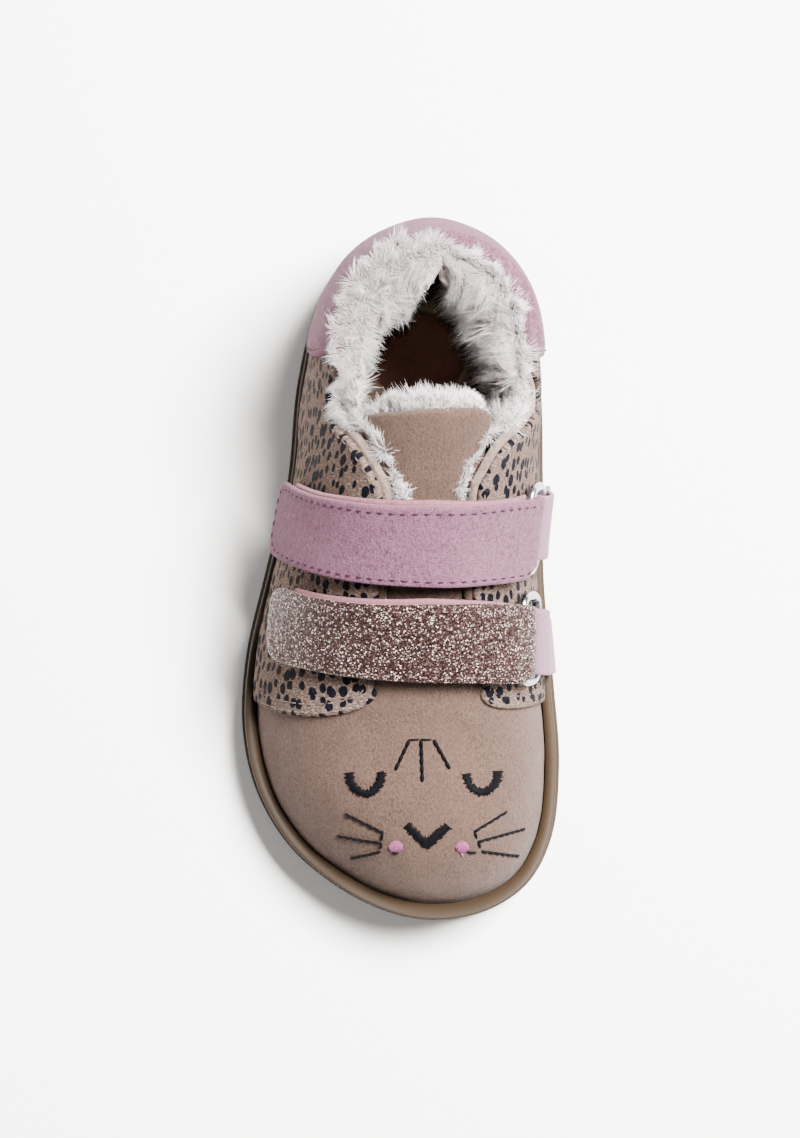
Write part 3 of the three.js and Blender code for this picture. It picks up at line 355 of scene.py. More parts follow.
def weld():
    """The skin as one mesh, with the columns' tops shared along the crown."""
    rows = WALL_ROWS + 1
    index = np.arange(COLUMNS * rows).reshape(COLUMNS, rows)
    outer = HEEL_COLUMNS + np.arange(SIDE_COLUMNS + 1)
    inner = (HEEL_COLUMNS + 2 * SIDE_COLUMNS + TOE_COLUMNS - np.arange(SIDE_COLUMNS + 1)) % COLUMNS
    index[inner, -1] = index[outer, -1]
    index[:HEEL_COLUMNS + 1, -1] = index[HEEL_COLUMNS, -1]
    toe_start = HEEL_COLUMNS + SIDE_COLUMNS
    index[toe_start + np.arange(TOE_COLUMNS + 1), -1] = index[toe_start, -1]
    a, b = index[:, :-1], np.roll(index, -1, axis=0)[:, :-1]
    c, d = np.roll(index, -1, axis=0)[:, 1:], index[:, 1:]
    tris = np.concatenate([np.stack(corners, axis=-1).reshape(-1, 3) for corners in ((a, b, c), (a, c, d))])
    return index, *without_slivers(tris)


def at_corners(values, tris, count):
    """For each vertex, the sum of the values of the faces round it."""
    total = np.zeros((count, *values.shape[1:]))
    for k in range(3):
        np.add.at(total, tris[:, k], values)
    return total


def vertex_normals(points, tris):
    """Directions out of a mesh at its vertices."""
    a, b, c = (points[tris[:, k]] for k in range(3))
    return unit(at_corners(np.cross(b - a, c - a), tris, len(points)))


SKIN_INDEX, SKIN_TRIS = weld()
SKIN = GRID.reshape(-1, 3)
SKIN_NORMALS = vertex_normals(SKIN, SKIN_TRIS)
if (SKIN_NORMALS.reshape(COLUMNS, -1, 3)[:, 5, :2] * OUT).sum() < 0:
    SKIN_TRIS = SKIN_TRIS[:, ::-1]
    SKIN_NORMALS = -SKIN_NORMALS
NORMALS = SKIN_NORMALS[SKIN_INDEX]
# -1 for columns of the outer side, 1 for the inner side
SIDE_SIGN = np.where(np.arange(COLUMNS) < HEEL_COLUMNS + SIDE_COLUMNS + TOE_COLUMNS // 2, -1.0, 1.0)
SIDE_SIGN[:HEEL_COLUMNS // 2] = 1.0
# Way over the skin from the crown, in millimetres, positive on the inner side
WAY = ((SIDE_SIGN * WALL_LENGTHS)[:, None] * np.linspace(1, 0, WALL_ROWS + 1)[None, :]).reshape(-1)


def in_column(column, share, depth):
    """Points of the skin in a column at a share of the way from foot to crown."""
    column = np.asarray(column, float) % COLUMNS
    c0 = np.floor(column).astype(int) % COLUMNS
    c1, u = (c0 + 1) % COLUMNS, (column - np.floor(column))[..., None]
    at = np.clip(share, 0, 1) * WALL_ROWS
    j = np.minimum(np.floor(at).astype(int), WALL_ROWS - 1)
    v = (at - j)[..., None]

    def blend(grid):
        return mix(mix(grid[c0, j], grid[c0, j + 1], v), mix(grid[c1, j], grid[c1, j + 1], v), u)

    normal = unit(blend(NORMALS))
    return blend(GRID) + normal * np.asarray(depth)[..., None], normal


def on_skin(station, way, depth):
    """Points and normals at a station. way is -1 at the outer foot, 0 on the crown, 1 at the inner foot."""
    station, way, depth = np.broadcast_arrays(np.asarray(station, float), way, depth)
    t = np.clip((station / LENGTH - HEEL_POLE) / (TOE_POLE - HEEL_POLE) * SIDE_COLUMNS, 0, SIDE_COLUMNS)
    inner = HEEL_COLUMNS + 2 * SIDE_COLUMNS + TOE_COLUMNS
    column = np.where(way < 0, HEEL_COLUMNS + np.minimum(t, SIDE_COLUMNS - 1e-6), inner - t)
    return in_column(column, 1 - np.abs(way), depth)


def way_length(station, sign):
    """Length over the skin from crown to foot."""
    points, _ = on_skin(station, sign * np.linspace(0, 1, 60), 0.0)
    return steps_of(points).sum()


TOP_TILT = 0.15  # least upward part of a normal on the top
BLENDED = 4  # how many points of the skin a place is blended from
BLEND_SOFTNESS = 0.05


def drop_on(x, s, depth):
    """Points on the top of the skin under places seen from above, and their normals."""
    x, s = np.asarray(x, float), np.asarray(s, float)
    top = SKIN_NORMALS[:, 2] > TOP_TILT
    points, normals = SKIN[top], SKIN_NORMALS[top]
    square = (points[None, :, 0] - x[:, None]) ** 2 + (points[None, :, 1] - s[:, None]) ** 2
    near = np.argpartition(square, BLENDED, axis=1)[:, :BLENDED]
    weight = 1 / (np.take_along_axis(square, near, axis=1) + BLEND_SOFTNESS)
    weight /= weight.sum(1, keepdims=True)
    base, normal = points[near], normals[near]
    level = base[..., 2] - (normal[..., 0] * (x[:, None] - base[..., 0])
                            + normal[..., 1] * (s[:, None] - base[..., 1])) / normal[..., 2]
    up = unit((normal * weight[..., None]).sum(1))
    return np.stack([x, s, (level * weight).sum(1)], axis=1) + up * np.asarray(depth)[..., None], up


# Where the shoe's own frame lies in the model
SOLE_LOW, SOLE_HIGH = (np.array(corner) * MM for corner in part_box("outsole"))
SHIFT_X = (SOLE_LOW[0] + SOLE_HIGH[0]) / 2 - (SOLE_OUTLINE[:, 0].min() + SOLE_OUTLINE[:, 0].max()) / 2
SHIFT_S = (SOLE_LOW[1] + SOLE_HIGH[1]) / 2 + (SOLE_OUTLINE[:, 1].min() + SOLE_OUTLINE[:, 1].max()) / 2


def world(points):
    """Places in the model, in metres, of points in the shoe's frame."""
    points = np.asarray(points, float)
    return np.stack([points[..., 0] + SHIFT_X, SHIFT_S - points[..., 1], points[..., 2]], axis=-1) / MM


def make_mesh(name, points, faces, finishes, zones=None, uv=None, shade=None):
    """A smooth closed mesh from points in the shoe's frame, riding on the shoe, faces outward."""
    at = world(points)
    tris = np.asarray(faces)
    size = tris.shape[1]
    a, b, c = at[tris[:, 0]], at[tris[:, 1]], at[tris[:, 2]]
    volume = (a * np.cross(b, c)).sum()
    if size == 4:
        volume += (a * np.cross(c, at[tris[:, 3]])).sum()
    if volume < 0:
        tris = tris[:, ::-1]
    mesh = bpy.data.meshes.new(name)
    mesh.vertices.add(len(at))
    mesh.vertices.foreach_set("co", at.astype(np.float32).ravel())
    mesh.loops.add(tris.size)
    mesh.loops.foreach_set("vertex_index", tris.astype(np.int32).ravel())
    mesh.polygons.add(len(tris))
    mesh.polygons.foreach_set("loop_start", np.arange(0, tris.size, size, dtype=np.int32))
    mesh.polygons.foreach_set("use_smooth", np.ones(len(tris), bool))
    for finish in finishes:
        mesh.materials.append(finish.material)
    if zones is not None:
        mesh.polygons.foreach_set("material_index", np.asarray(zones, np.int32))
    if uv is not None:
        layer = mesh.uv_layers.new(name="skin")
        layer.data.foreach_set("uv", (np.asarray(uv)[tris.ravel()] / MM).astype(np.float32).ravel())
    if shade is not None:
        layer = mesh.attributes.new("shade", "FLOAT", "POINT")
        layer.data.foreach_set("value", np.asarray(shade, np.float32))
    mesh.update()
    mesh.validate()
    piece = bpy.data.objects.new(name, mesh)
    bpy.context.collection.objects.link(piece)
    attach(piece, "root")
    return piece


NEAR_LEVEL = 1e-5  # values nearer to a level than this are moved off it


def split(values, level, rows, tris):
    """Cuts triangles along a level of a value. rows holds everything that is kept for each vertex."""
    over = values - level
    over = np.where(np.abs(over) < NEAR_LEVEL, NEAR_LEVEL, over)
    side = over[tris] > 0
    mixed = side.any(1) & ~side.all(1)
    if not mixed.any():
        return values, rows, tris
    work, flags = tris[mixed], side[mixed]
    lone = np.where(flags.sum(1) == 1, flags.argmax(1), (~flags).argmax(1))
    pick = np.arange(len(work))
    a, b, c = (work[pick, (lone + k) % 3] for k in range(3))
    pairs = np.sort(np.concatenate([np.stack([a, b], 1), np.stack([a, c], 1)]), axis=1)
    edges, where = np.unique(pairs, axis=0, return_inverse=True)
    where = where.reshape(-1)
    share = over[edges[:, 0]] / (over[edges[:, 0]] - over[edges[:, 1]])
    made = mix(rows[edges[:, 0]], rows[edges[:, 1]], share[:, None])
    ab, ac = where[:len(a)] + len(rows), where[len(a):] + len(rows)
    new = np.concatenate([np.stack([a, ab, ac], 1), np.stack([ab, b, c], 1), np.stack([ab, c, ac], 1)])
    values = np.concatenate([values, np.full(len(edges), level)])
    return values, np.concatenate([rows, made]), np.concatenate([tris[~mixed], new])


SLOPES = (0.3, 3)  # least and greatest slope that a distance is scaled by


def surface_distance(values):
    """A value on the skin turned into a distance along it, true near zero."""
    a, b, c = (SKIN[SKIN_TRIS[:, k]] for k in range(3))
    e1, e2 = b - a, c - a
    f1 = values[SKIN_TRIS[:, 1]] - values[SKIN_TRIS[:, 0]]
    f2 = values[SKIN_TRIS[:, 2]] - values[SKIN_TRIS[:, 0]]
    ee, ef, ff = (e1 * e1).sum(1), (e1 * e2).sum(1), (e2 * e2).sum(1)
    area2 = np.maximum(ee * ff - ef**2, 1e-9)
    slope = np.sqrt(np.maximum(ff * f1**2 - 2 * ef * f1 * f2 + ee * f2**2, 0) / area2)
    weight = np.sqrt(area2)
    total, share = (at_corners(part, SKIN_TRIS, len(SKIN)) for part in (slope * weight, weight))
    return values / np.clip(total / np.maximum(share, 1e-9), *SLOPES)


def inside(polygon, places):
    """Distance from places to a polygon's edge, positive inside."""
    a, b = polygon, np.roll(polygon, -1, axis=0)
    best = np.full(len(places), np.inf)
    crossings = np.zeros(len(places), int)
    px, py = places[:, 0], places[:, 1]
    for (ax, ay), (bx, by) in zip(a, b):
        ex, ey = bx - ax, by - ay
        t = np.clip(((px - ax) * ex + (py - ay) * ey) / max(ex * ex + ey * ey, 1e-12), 0, 1)
        best = np.minimum(best, np.hypot(px - ax - t * ex, py - ay - t * ey))
        spans = (ay > py) != (by > py)
        if abs(ey) > 1e-12:
            crossings += spans & (px < ax + (py - ay) / ey * ex)
    return np.where(crossings % 2 == 1, best, -best)


def edge_profile(distance, radius):
    """Rounded edge: 0 at the edge, 1 from the radius inwards."""
    t = np.clip(distance / radius, 0, 1)
    return np.sqrt(1 - (1 - t) ** 2)


ROUNDING = (0.04, 0.16, 0.4, 1.0)  # shares of an edge's radius where the skin is cut to carry its round
# Columns of the values kept for each vertex, after its place and normal
WAY_KEPT, REGION, EXTRA, SECOND_EXTRA = 6, 7, 8, 9


def panel(name, region, inner, outer, radius, finishes, zone=None, extra=(), levels=()):
    """A closed piece over the part of the skin where region is positive. inner and outer give depths
    from the kept values: place, normal, way, region and what extra adds. zone splits off a second finish."""
    rows = np.column_stack([SKIN, SKIN_NORMALS, WAY, region, *extra])
    values, rows, tris = split(region, 0.0, rows, SKIN_TRIS)
    tris = tris[values[tris].mean(1) > 0]
    for column, level in [(REGION, radius * share) for share in ROUNDING] + list(levels):
        values, rows, tris = split(rows[:, column], level, rows, tris)
        rows[:, column] = values
    used = np.unique(tris)
    renumber = np.full(len(rows), -1)
    renumber[used] = np.arange(len(used))
    rows, tris = rows[used], renumber[tris]
    point, normal = rows[:, :3], unit(rows[:, 3:6])
    depth_in = inner(rows) if callable(inner) else np.full(len(rows), inner)
    depth_out = outer(rows)
    rim_points = rows[:, REGION] < 10 * NEAR_LEVEL
    depth_out = np.where(rim_points, depth_in, depth_out)
    back = np.where(rim_points, np.arange(len(rows)), len(rows) + np.cumsum(~rim_points) - 1)
    inside_points = (point + normal * depth_in[:, None])[~rim_points]
    points = np.concatenate([point + normal * depth_out[:, None], inside_points])
    faces = np.concatenate([tris, back[tris][:, ::-1]])
    uv = rows[:, [1, WAY_KEPT]]
    uv = np.concatenate([uv, uv[~rim_points]])
    zones = None
    if zone is not None:
        marks = zone(rows)
        zones = np.tile((marks[tris].mean(1) > 0.5).astype(int), 2)
    return make_mesh(name, points, faces, finishes, zones=zones, uv=uv)


SHORTEST_LINE = 6


def level_lines(values, level, rows):
    """Lines of a level on the skin, as lists of the kept rows in order."""
    count = len(rows)
    values, rows, tris = split(values, level, rows, SKIN_TRIS)
    fresh = tris >= count
    links = {}
    for tri, flag in zip(tris[fresh.sum(1) >= 2], fresh[fresh.sum(1) >= 2]):
        a, b = tri[flag][:2]
        links.setdefault(a, set()).add(b)
        links.setdefault(b, set()).add(a)
    lines = []
    while links:
        start = next((v for v, near in links.items() if len(near) == 1), next(iter(links)))
        line, here = [start], start
        while True:
            near = links.pop(here, set())
            after = next((v for v in near if v in links), None)
            if after is None:
                break
            line.append(after)
            here = after
        points = rows[line]
        if len(line) > 3 and steps_of(points[:, :3]).sum() > SHORTEST_LINE:
            lines.append(points)
    return lines


def ring_faces(rings, size):
    """Triangles between rings of equal count that are numbered one after another."""
    k = np.arange(size)
    after = np.roll(k, -1)
    faces = []
    for row in range(0, (rings - 1) * size, size):
        a, b = row + k, row + after
        faces += [np.stack([a, b, b + size], 1), np.stack([a, b + size, a + size], 1)]
    return faces


def tubes(centres, radii, sides, ups, pointed=False):
    """Many thin closed tubes. centres is (count, steps, 3), radii (steps,) or (count, steps)."""
    centres = np.asarray(centres, float)
    count, steps, _ = centres.shape
    tangent = unit(np.gradient(centres, axis=1))
    ups = np.broadcast_to(np.asarray(ups, float).reshape(count, -1, 3), centres.shape)
    across = unit(np.cross(tangent, ups))
    up = np.cross(across, tangent)
    radii = np.broadcast_to(radii, (count, steps))
    turn = 2 * math.pi * np.arange(sides) / sides
    ring = np.cos(turn)[:, None] * across[:, :, None, :] + np.sin(turn)[:, None] * up[:, :, None, :]
    points = centres[:, :, None, :] + ring * radii[:, :, None, None]
    rings = steps - 1 if pointed else steps
    size = rings * sides + (1 if pointed else 0)
    flat = points[:, :rings].reshape(count, rings * sides, 3)
    if pointed:
        flat = np.concatenate([flat, centres[:, -1:]], axis=1)
    low = np.array([[0, j + 1, j] for j in range(1, sides - 1)])
    last = (rings - 1) * sides + np.arange(sides)
    high = low[:, ::-1] + last[0]
    if pointed:
        high = np.stack([last, np.roll(last, -1), np.full(sides, size - 1)], 1)
    faces = np.concatenate([*ring_faces(rings, sides), low, high])
    every = (faces[None] + (np.arange(count) * size)[:, None, None]).reshape(-1, 3)
    return flat.reshape(-1, 3), every


THREAD_STEPS = 5
THREAD_SIDES = 6
THREAD_RISE = 0.7  # share of a thread's radius that a stitch stands up in its middle
SINK = 0.12  # how far a stitch's ends go down into the leather


def stitch_tubes(line, normals, length, gap, radius, sink=SINK, taper=0.55):
    """Thread stitches along a line: each rises out of one hole and goes down the next."""
    reach = reach_of(line)
    starts = np.arange(gap / 2, reach[-1] - length, length + gap)
    if not len(starts):
        return np.zeros((0, 3)), np.zeros((0, 3), int)
    share = np.linspace(0, 1, THREAD_STEPS)
    arch = np.sin(math.pi * share)
    at = starts[:, None] + share[None, :] * length
    centre = np.stack([np.interp(at, reach, line[:, k]) for k in range(3)], axis=-1)
    up = unit(np.stack([np.interp(at, reach, normals[:, k]) for k in range(3)], axis=-1))
    rise = radius * THREAD_RISE * arch - sink * (1 - arch)
    thick = radius * (taper + (1 - taper) * arch)
    return tubes(centre + up * rise[None, :, None], thick, THREAD_SIDES, up)


def join(parts):
    """Joins lists of points and faces."""
    points, faces, start = [], [], 0
    for part_points, part_faces in parts:
        points.append(part_points)
        faces.append(part_faces + start)
        start += len(part_points)
    return np.concatenate(points), np.concatenate(faces)


# Materials


class Finish:
    """A node material with its Principled shader and short ways to add nodes."""

    def __init__(self, name, colour, roughness, **sockets):
        self.material = bpy.data.materials.new(name)
        self.material.use_nodes = True
        self.nodes = self.material.node_tree.nodes
        self.links = self.material.node_tree.links
        self.shader = self.nodes["Principled BSDF"]
        self.shader.inputs["Base Color"].default_value = (*colour, 1)
        self.shader.inputs["Roughness"].default_value = roughness
        for socket, value in sockets.items():
            self.shader.inputs[socket.replace("_", " ")].default_value = value
        self.places = self.nodes.new("ShaderNodeTexCoord").outputs
        self.bumps = None

    def node(self, kind, inputs=None, **settings):
        made = self.nodes.new("ShaderNode" + kind)
        for key, value in settings.items():
            setattr(made, key, value)
        for key, value in (inputs or {}).items():
            if isinstance(value, bpy.types.NodeSocket):
                self.links.new(value, made.inputs[key])
            else:
                made.inputs[key].default_value = value
        return made

    def stretched(self, scale, source="Object"):
        return self.node("Mapping", {"Vector": self.places[source], "Scale": scale}).outputs["Vector"]

    def noise(self, scale, detail=3.0, roughness=0.6, vector=None, distortion=0.0):
        return self.node("TexNoise", {
            "Vector": vector or self.places["Object"], "Scale": scale, "Detail": detail,
            "Roughness": roughness, "Distortion": distortion}).outputs["Fac"]

    def ramp(self, value, stops):
        made = self.node("ValToRGB", {"Fac": value})
        elements = made.color_ramp.elements
        while len(elements) < len(stops):
            elements.new(0.5)
        for element, (at, colour) in zip(elements, stops):
            element.position = at
            element.color = (*colour, 1) if len(colour) == 3 else colour
        return made.outputs["Color"]

    def level(self, value, low, high, to_low=0.0, to_high=1.0):
        return self.node("MapRange", {"Value": value, "From Min": low, "From Max": high, "To Min": to_low,
                                      "To Max": to_high}).outputs["Result"]

    def mixed(self, factor, a, b, blend="MIX"):
        made = self.node("Mix", data_type="RGBA", blend_type=blend)
        for key, value in (("Factor", factor), ("A", a), ("B", b)):
            socket = next(i for i in made.inputs if i.name == key and (i.type == "RGBA" or key == "Factor")
                          and i.enabled)
            if isinstance(value, bpy.types.NodeSocket):
                self.links.new(value, socket)
            else:
                socket.default_value = (*value, 1) if isinstance(value, tuple) else value
        return next(o for o in made.outputs if o.type == "RGBA")

    def math(self, operation, a, b=0.0):
        return self.node("Math", {0: a, 1: b}, operation=operation).outputs["Value"]

    def vector(self, operation, a, b):
        inputs = {0: a, "Scale" if operation == "SCALE" else 1: b}
        return self.node("VectorMath", inputs, operation=operation).outputs["Vector"]

    def cells(self, place, scale, **settings):
        return self.node("TexVoronoi", {"Vector": place, "Scale": scale}, **settings)

    def colour(self, value):
        self.links.new(value, self.shader.inputs["Base Color"])

    def rough(self, value):
        self.links.new(value, self.shader.inputs["Roughness"])

    def bump(self, height, distance, strength=1.0):
        inputs = {"Height": height, "Distance": distance, "Strength": strength}
        if self.bumps is not None:
            inputs["Normal"] = self.bumps
        self.bumps = self.node("Bump", inputs).outputs["Normal"]
        self.links.new(self.bumps, self.shader.inputs["Normal"])


def suede(name, light, dark, deep, pebble=3600.0, nap=1.7, sheen=0.26):
    """Brushed suede: fine pebbled nap, soft blotches where it is worn or brushed, and a little sheen."""
    tint = (*(mix(c, 0.8, 0.35) for c in light), 1)
    made = Finish(name, light, 0.95, Sheen_Weight=sheen, Sheen_Roughness=0.45, Sheen_Tint=tint,
                  Specular_IOR_Level=0.12)
    grain = made.noise(pebble, 3.0, 0.7)
    strokes = made.noise(1.0, 3.0, 0.6, made.stretched((pebble * 0.55, pebble * 0.35, pebble * 0.45)))
    blotch = made.noise(240, 4.0, 0.62)
    broad = made.noise(48, 3.0, 0.55, distortion=0.6)
    mixed = made.math("ADD", made.math("MULTIPLY", grain, 0.55), made.math("MULTIPLY", strokes, 0.45))
    base = made.ramp(mixed, [(0.38, deep), (0.475, dark), (0.58, light)])
    worn = made.mixed(made.level(blotch, 0.4, 0.72, 0.0, 0.45), base, dark)
    made.colour(made.mixed(made.level(broad, 0.45, 0.72, 0.0, 0.4), worn, light))
    made.rough(made.level(blotch, 0.3, 0.7, 0.88, 1.0))
    made.bump(broad, 0.001, 0.3)
    made.bump(strokes, 0.00022, min(0.6 * nap, 1.0))
    made.bump(grain, 0.00012 * nap, 0.9)
    return made


BEIGE = suede("beige_suede", (0.082, 0.0488, 0.036), (0.056, 0.0322, 0.024), (0.028, 0.0155, 0.0115))
PINK = suede("pink_suede", (0.152, 0.069, 0.099), (0.107, 0.045, 0.068), (0.055, 0.022, 0.035),
             pebble=2500.0, nap=4.0, sheen=0.12)
LILAC = suede("pale_pink_leather", (0.195, 0.115, 0.155), (0.17, 0.098, 0.135), (0.13, 0.072, 0.1), nap=0.5)
ROSE = suede("rose_backing", (0.19, 0.078, 0.092), (0.15, 0.058, 0.07), (0.09, 0.033, 0.042), nap=0.8)
LINING = suede("lining_leather", (0.17, 0.118, 0.098), (0.125, 0.085, 0.07), (0.075, 0.05, 0.04),
               pebble=1500.0, nap=2.0)


MIDDLE = (0.5, 0.5, 0.5)
SPOTS_A_METRE = (310, 395, 1)
SPOT_BEND = 0.0011
SPOT_RANDOMNESS = 0.68
SPOT_REACH = (0.25, 0.42)  # least and greatest half size of a spot, as a share of its cell


def spotted():
    """Hair-on suede with dark foil spots, longer along the shoe."""
    made = Finish("spotted_suede", (0.12, 0.08, 0.065), 0.95, Specular_IOR_Level=0.03)
    streaks = made.noise(1.0, 3.0, 0.65, made.stretched((2600, 1300, 1), "UV"))
    broad = made.noise(160, 3.0)
    base = made.ramp(streaks, [(0.3, (0.03, 0.019, 0.015)), (0.43, (0.072, 0.047, 0.037)),
                               (0.57, (0.118, 0.082, 0.066)), (0.7, (0.26, 0.2, 0.168))])
    base = made.mixed(made.level(broad, 0.4, 0.7, 0.0, 0.5), base, (0.07, 0.046, 0.037))
    bend = made.node("TexNoise", {"Vector": made.places["UV"], "Scale": 420.0, "Detail": 2.0})
    offset = made.vector("SUBTRACT", bend.outputs["Color"], MIDDLE)
    moved = made.vector("ADD", made.places["UV"], made.vector("SCALE", offset, SPOT_BEND))
    place = made.node("Mapping", {"Vector": moved, "Scale": SPOTS_A_METRE}).outputs["Vector"]
    spots = made.cells(place, 1.0, voronoi_dimensions="2D")
    spots.inputs["Randomness"].default_value = SPOT_RANDOMNESS
    sizes = made.node("SeparateColor", {"Color": spots.outputs["Color"]}).outputs[0]
    reach = made.level(sizes, 0.0, 1.0, *SPOT_REACH)
    edge = made.math("SUBTRACT", reach, spots.outputs["Distance"])
    foil = made.level(edge, 0.0, 0.025)
    crackle = made.noise(1100, 2.0)
    ink = made.ramp(crackle, [(0.42, (0.0022, 0.0022, 0.0035)), (0.66, (0.005, 0.005, 0.009)),
                              (0.8, (0.035, 0.028, 0.04))])
    made.colour(made.mixed(foil, base, ink))
    made.rough(made.level(foil, 0.0, 1.0, 0.95, 0.75))
    made.bump(streaks, 0.00022, 0.8)
    made.bump(foil, 0.00007, 0.7)
    made.bump(broad, 0.0006, 0.3)
    return made


SPOTTED = spotted()


FLAKES_A_METRE = (4300.0, 2900.0)
FLAKE_LEAN = 0.6


def glitter():
    """Rose gold glitter: tiny flakes, each with its own tilt and tone."""
    made = Finish("rose_glitter", (0.5, 0.33, 0.29), 0.35, Metallic=0.4, Specular_IOR_Level=0.08)
    flakes, big = (made.cells(made.places["Object"], scale) for scale in FLAKES_A_METRE)
    tone = made.node("SeparateColor", {"Color": flakes.outputs["Color"]})
    base = made.ramp(tone.outputs[0], [(0.0, (0.007, 0.0025, 0.002)), (0.4, (0.022, 0.0092, 0.0075)),
                                       (0.7, (0.04, 0.021, 0.018)), (0.9, (0.065, 0.042, 0.037)),
                                       (0.957, (0.5, 0.4, 0.37))])
    made.colour(base)
    tilt, fine = (made.vector("SUBTRACT", cells.outputs["Color"], MIDDLE) for cells in (big, flakes))
    lean = made.vector("SCALE", made.vector("ADD", tilt, fine), FLAKE_LEAN)
    turned = made.vector("ADD", made.node("NewGeometry").outputs["Normal"], lean)
    normal = made.node("VectorMath", {0: turned}, operation="NORMALIZE")
    made.links.new(normal.outputs["Vector"], made.shader.inputs["Normal"])
    made.rough(made.level(tone.outputs[1], 0.0, 1.0, 0.22, 0.6))
    return made


GLITTER = glitter()
# Painted shade: the sole's colour darkens towards the toe
TOE_SHADE_START = 0.9  # share of LENGTH where the sole starts to darken towards the toe
TOE_SHADE_REACH = 12


def rubber():
    """Gum rubber, slightly waxy, with faint mould marks, and painted shade that darkens it towards the toe.
    """
    made = Finish("gum_rubber", (0.05, 0.03, 0.015), 0.6, Specular_IOR_Level=0.16, Coat_Weight=0.03,
                  Coat_Roughness=0.35)
    broad = made.noise(40, 3.0)
    fine = made.noise(1600, 2.0)
    tone = made.ramp(broad, [(0.35, (0.021, 0.012, 0.0056)), (0.65, (0.031, 0.018, 0.0086))])
    tone = made.mixed(made.level(fine, 0.45, 0.7, 0.0, 0.25), tone, (0.016, 0.009, 0.0045))
    along = made.node("SeparateXYZ", {"Vector": made.places["Object"]}).outputs["Y"]
    toe = (SHIFT_S - TOE_SHADE_START * LENGTH) / MM
    # Painted shade: the rubber's colour darkens over the last stretch before the toe
    toe_shade = made.level(along, toe, toe - TOE_SHADE_REACH / MM, 0.0, 0.45)
    made.colour(made.mixed(toe_shade, tone, (0.01, 0.0055, 0.0026)))
    made.rough(made.level(broad, 0.3, 0.7, 0.55, 0.7))
    made.bump(fine, 0.00005, 0.5)
    made.bump(made.noise(300, 3.0), 0.0001, 0.35)
    return made


RUBBER = rubber()


def pile():
    """Long soft pile: cream white at the tip, darker and tan towards the root, partly a tan root tone and
    partly painted shade in the pile's depth.
    """
    made = Finish("cream_pile", (0.9, 0.87, 0.83), 0.85, Sheen_Weight=0.3, Sheen_Roughness=0.4,
                  Subsurface_Weight=0.7, Subsurface_Scale=0.0008, Subsurface_Radius=(1.0, 0.93, 0.9),
                  Specular_IOR_Level=0.2)
    # The shade attribute paints shade into the pile's depth: low values give the dark tan near the roots
    shade = made.node("Attribute", attribute_name="shade").outputs["Fac"]
    clump = made.noise(170, 2.0)
    base = made.ramp(shade, [(0.0, (0.3, 0.235, 0.205)), (0.3, (0.405, 0.337, 0.315)),
                             (0.8, (0.505, 0.436, 0.427))])
    made.colour(made.mixed(made.level(clump, 0.3, 0.7, 0.25, 0.0), base, (0.34, 0.275, 0.25)))
    return made


PILE = pile()


def thread(name, colour, roughness=0.55):
    """Twisted thread, a little uneven in tone."""
    made = Finish(name, colour, roughness, Specular_IOR_Level=0.06)
    made.bump(made.noise(1.0, 1.0, 0.5, made.stretched((4200, 4200, 4200))), 0.00006, 0.7)
    tone = made.noise(1500, 2.0)
    made.colour(made.mixed(made.level(tone, 0.3, 0.7), colour, tuple(c * 0.55 for c in colour)))
    return made


THREAD_DARK = thread("thread_dark", (0.002, 0.002, 0.0032), 0.7)
THREAD_PINK = thread("thread_pink", (0.03, 0.011, 0.021))
THREAD_ROSE = thread("thread_rose", (0.25, 0.07, 0.155))
THREAD_PALE = thread("thread_pale", (0.13, 0.098, 0.085))
THREAD_BLUSH = thread("thread_blush", (0.2, 0.125, 0.12))


def metal():
    """Silver wire with faint wear."""
    made = Finish("silver_metal", (0.3, 0.3, 0.32), 0.3, Metallic=1.0)
    wear = made.noise(500, 3.0)
    made.rough(made.level(wear, 0.3, 0.75, 0.14, 0.36))
    made.bump(wear, 0.00003, 0.5)
    return made


METAL = metal()


HEEL_SHADE_PATCH = (3.6, 47.5)  # middle of the patch of painted shade on the footbed under the opening, across and along in the model's frame
HEEL_SHADE_PATCH_HALF = (10.8, 9.8)


def footbed_leather():
    """Tan footbed, darker brown in a patch under the heel: painted shade deep in the opening."""
    made = Finish("footbed_leather", (0.3, 0.2, 0.14), 0.75, Specular_IOR_Level=0.0)
    grain = made.cells(made.places["Object"], 1500.0)
    broad = made.noise(60, 4.0)
    tan = made.ramp(broad, [(0.3, (0.04, 0.025, 0.017)), (0.7, (0.055, 0.036, 0.025))])
    # Painted shade: a dark brown patch where the footbed lies deep in the opening
    shaded_brown = made.ramp(broad, [(0.3, (0.014, 0.0058, 0.0038)), (0.7, (0.02, 0.0087, 0.0056))])
    away = made.vector("SUBTRACT", made.places["Object"], (*(place / MM for place in HEEL_SHADE_PATCH), 0))
    shares = made.vector("MULTIPLY", away, (*(MM / half for half in HEEL_SHADE_PATCH_HALF), 0))
    far = made.node("VectorMath", {0: shares}, operation="LENGTH").outputs["Value"]
    made.colour(made.mixed(made.level(far, 0.97, 1.03), shaded_brown, tan))
    made.bump(grain.outputs["Distance"], 0.00012, 0.6)
    made.rough(made.level(broad, 0.3, 0.7, 0.6, 0.8))
    return made


FOOTBED = footbed_leather()

# Fields over the skin


S, Z = SKIN[:, 1], SKIN[:, 2]
FAR = 400.0  # a distance beyond every other


def line_of(rows, across, along, across_size, along_size=LENGTH):
    """Smooth line through two columns of a table."""
    return smooth_line(np.stack([rows[across] * across_size, rows[along] * along_size], axis=1), LINE_STEPS)


THROAT_LONG = {name: np.append(THROAT[name], end) for name, end in zip(("along", "outer", "inner"),
                                                                       QUARTER_THROAT_END)}


def throat_field(rows):
    """Distance from the throat's edge, positive on the leather."""
    outer, inner = (line_of(rows, side, "along", BALL_WIDTH) for side in ("outer", "inner"))
    away = -inside(np.concatenate([outer, inner[::-1]]), SKIN[:, :2])
    return np.where(Z > RIM_HEIGHT, surface_distance(away), FAR)


def least(*fields):
    """The smallest of several fields, place by place."""
    return np.minimum.reduce(fields)


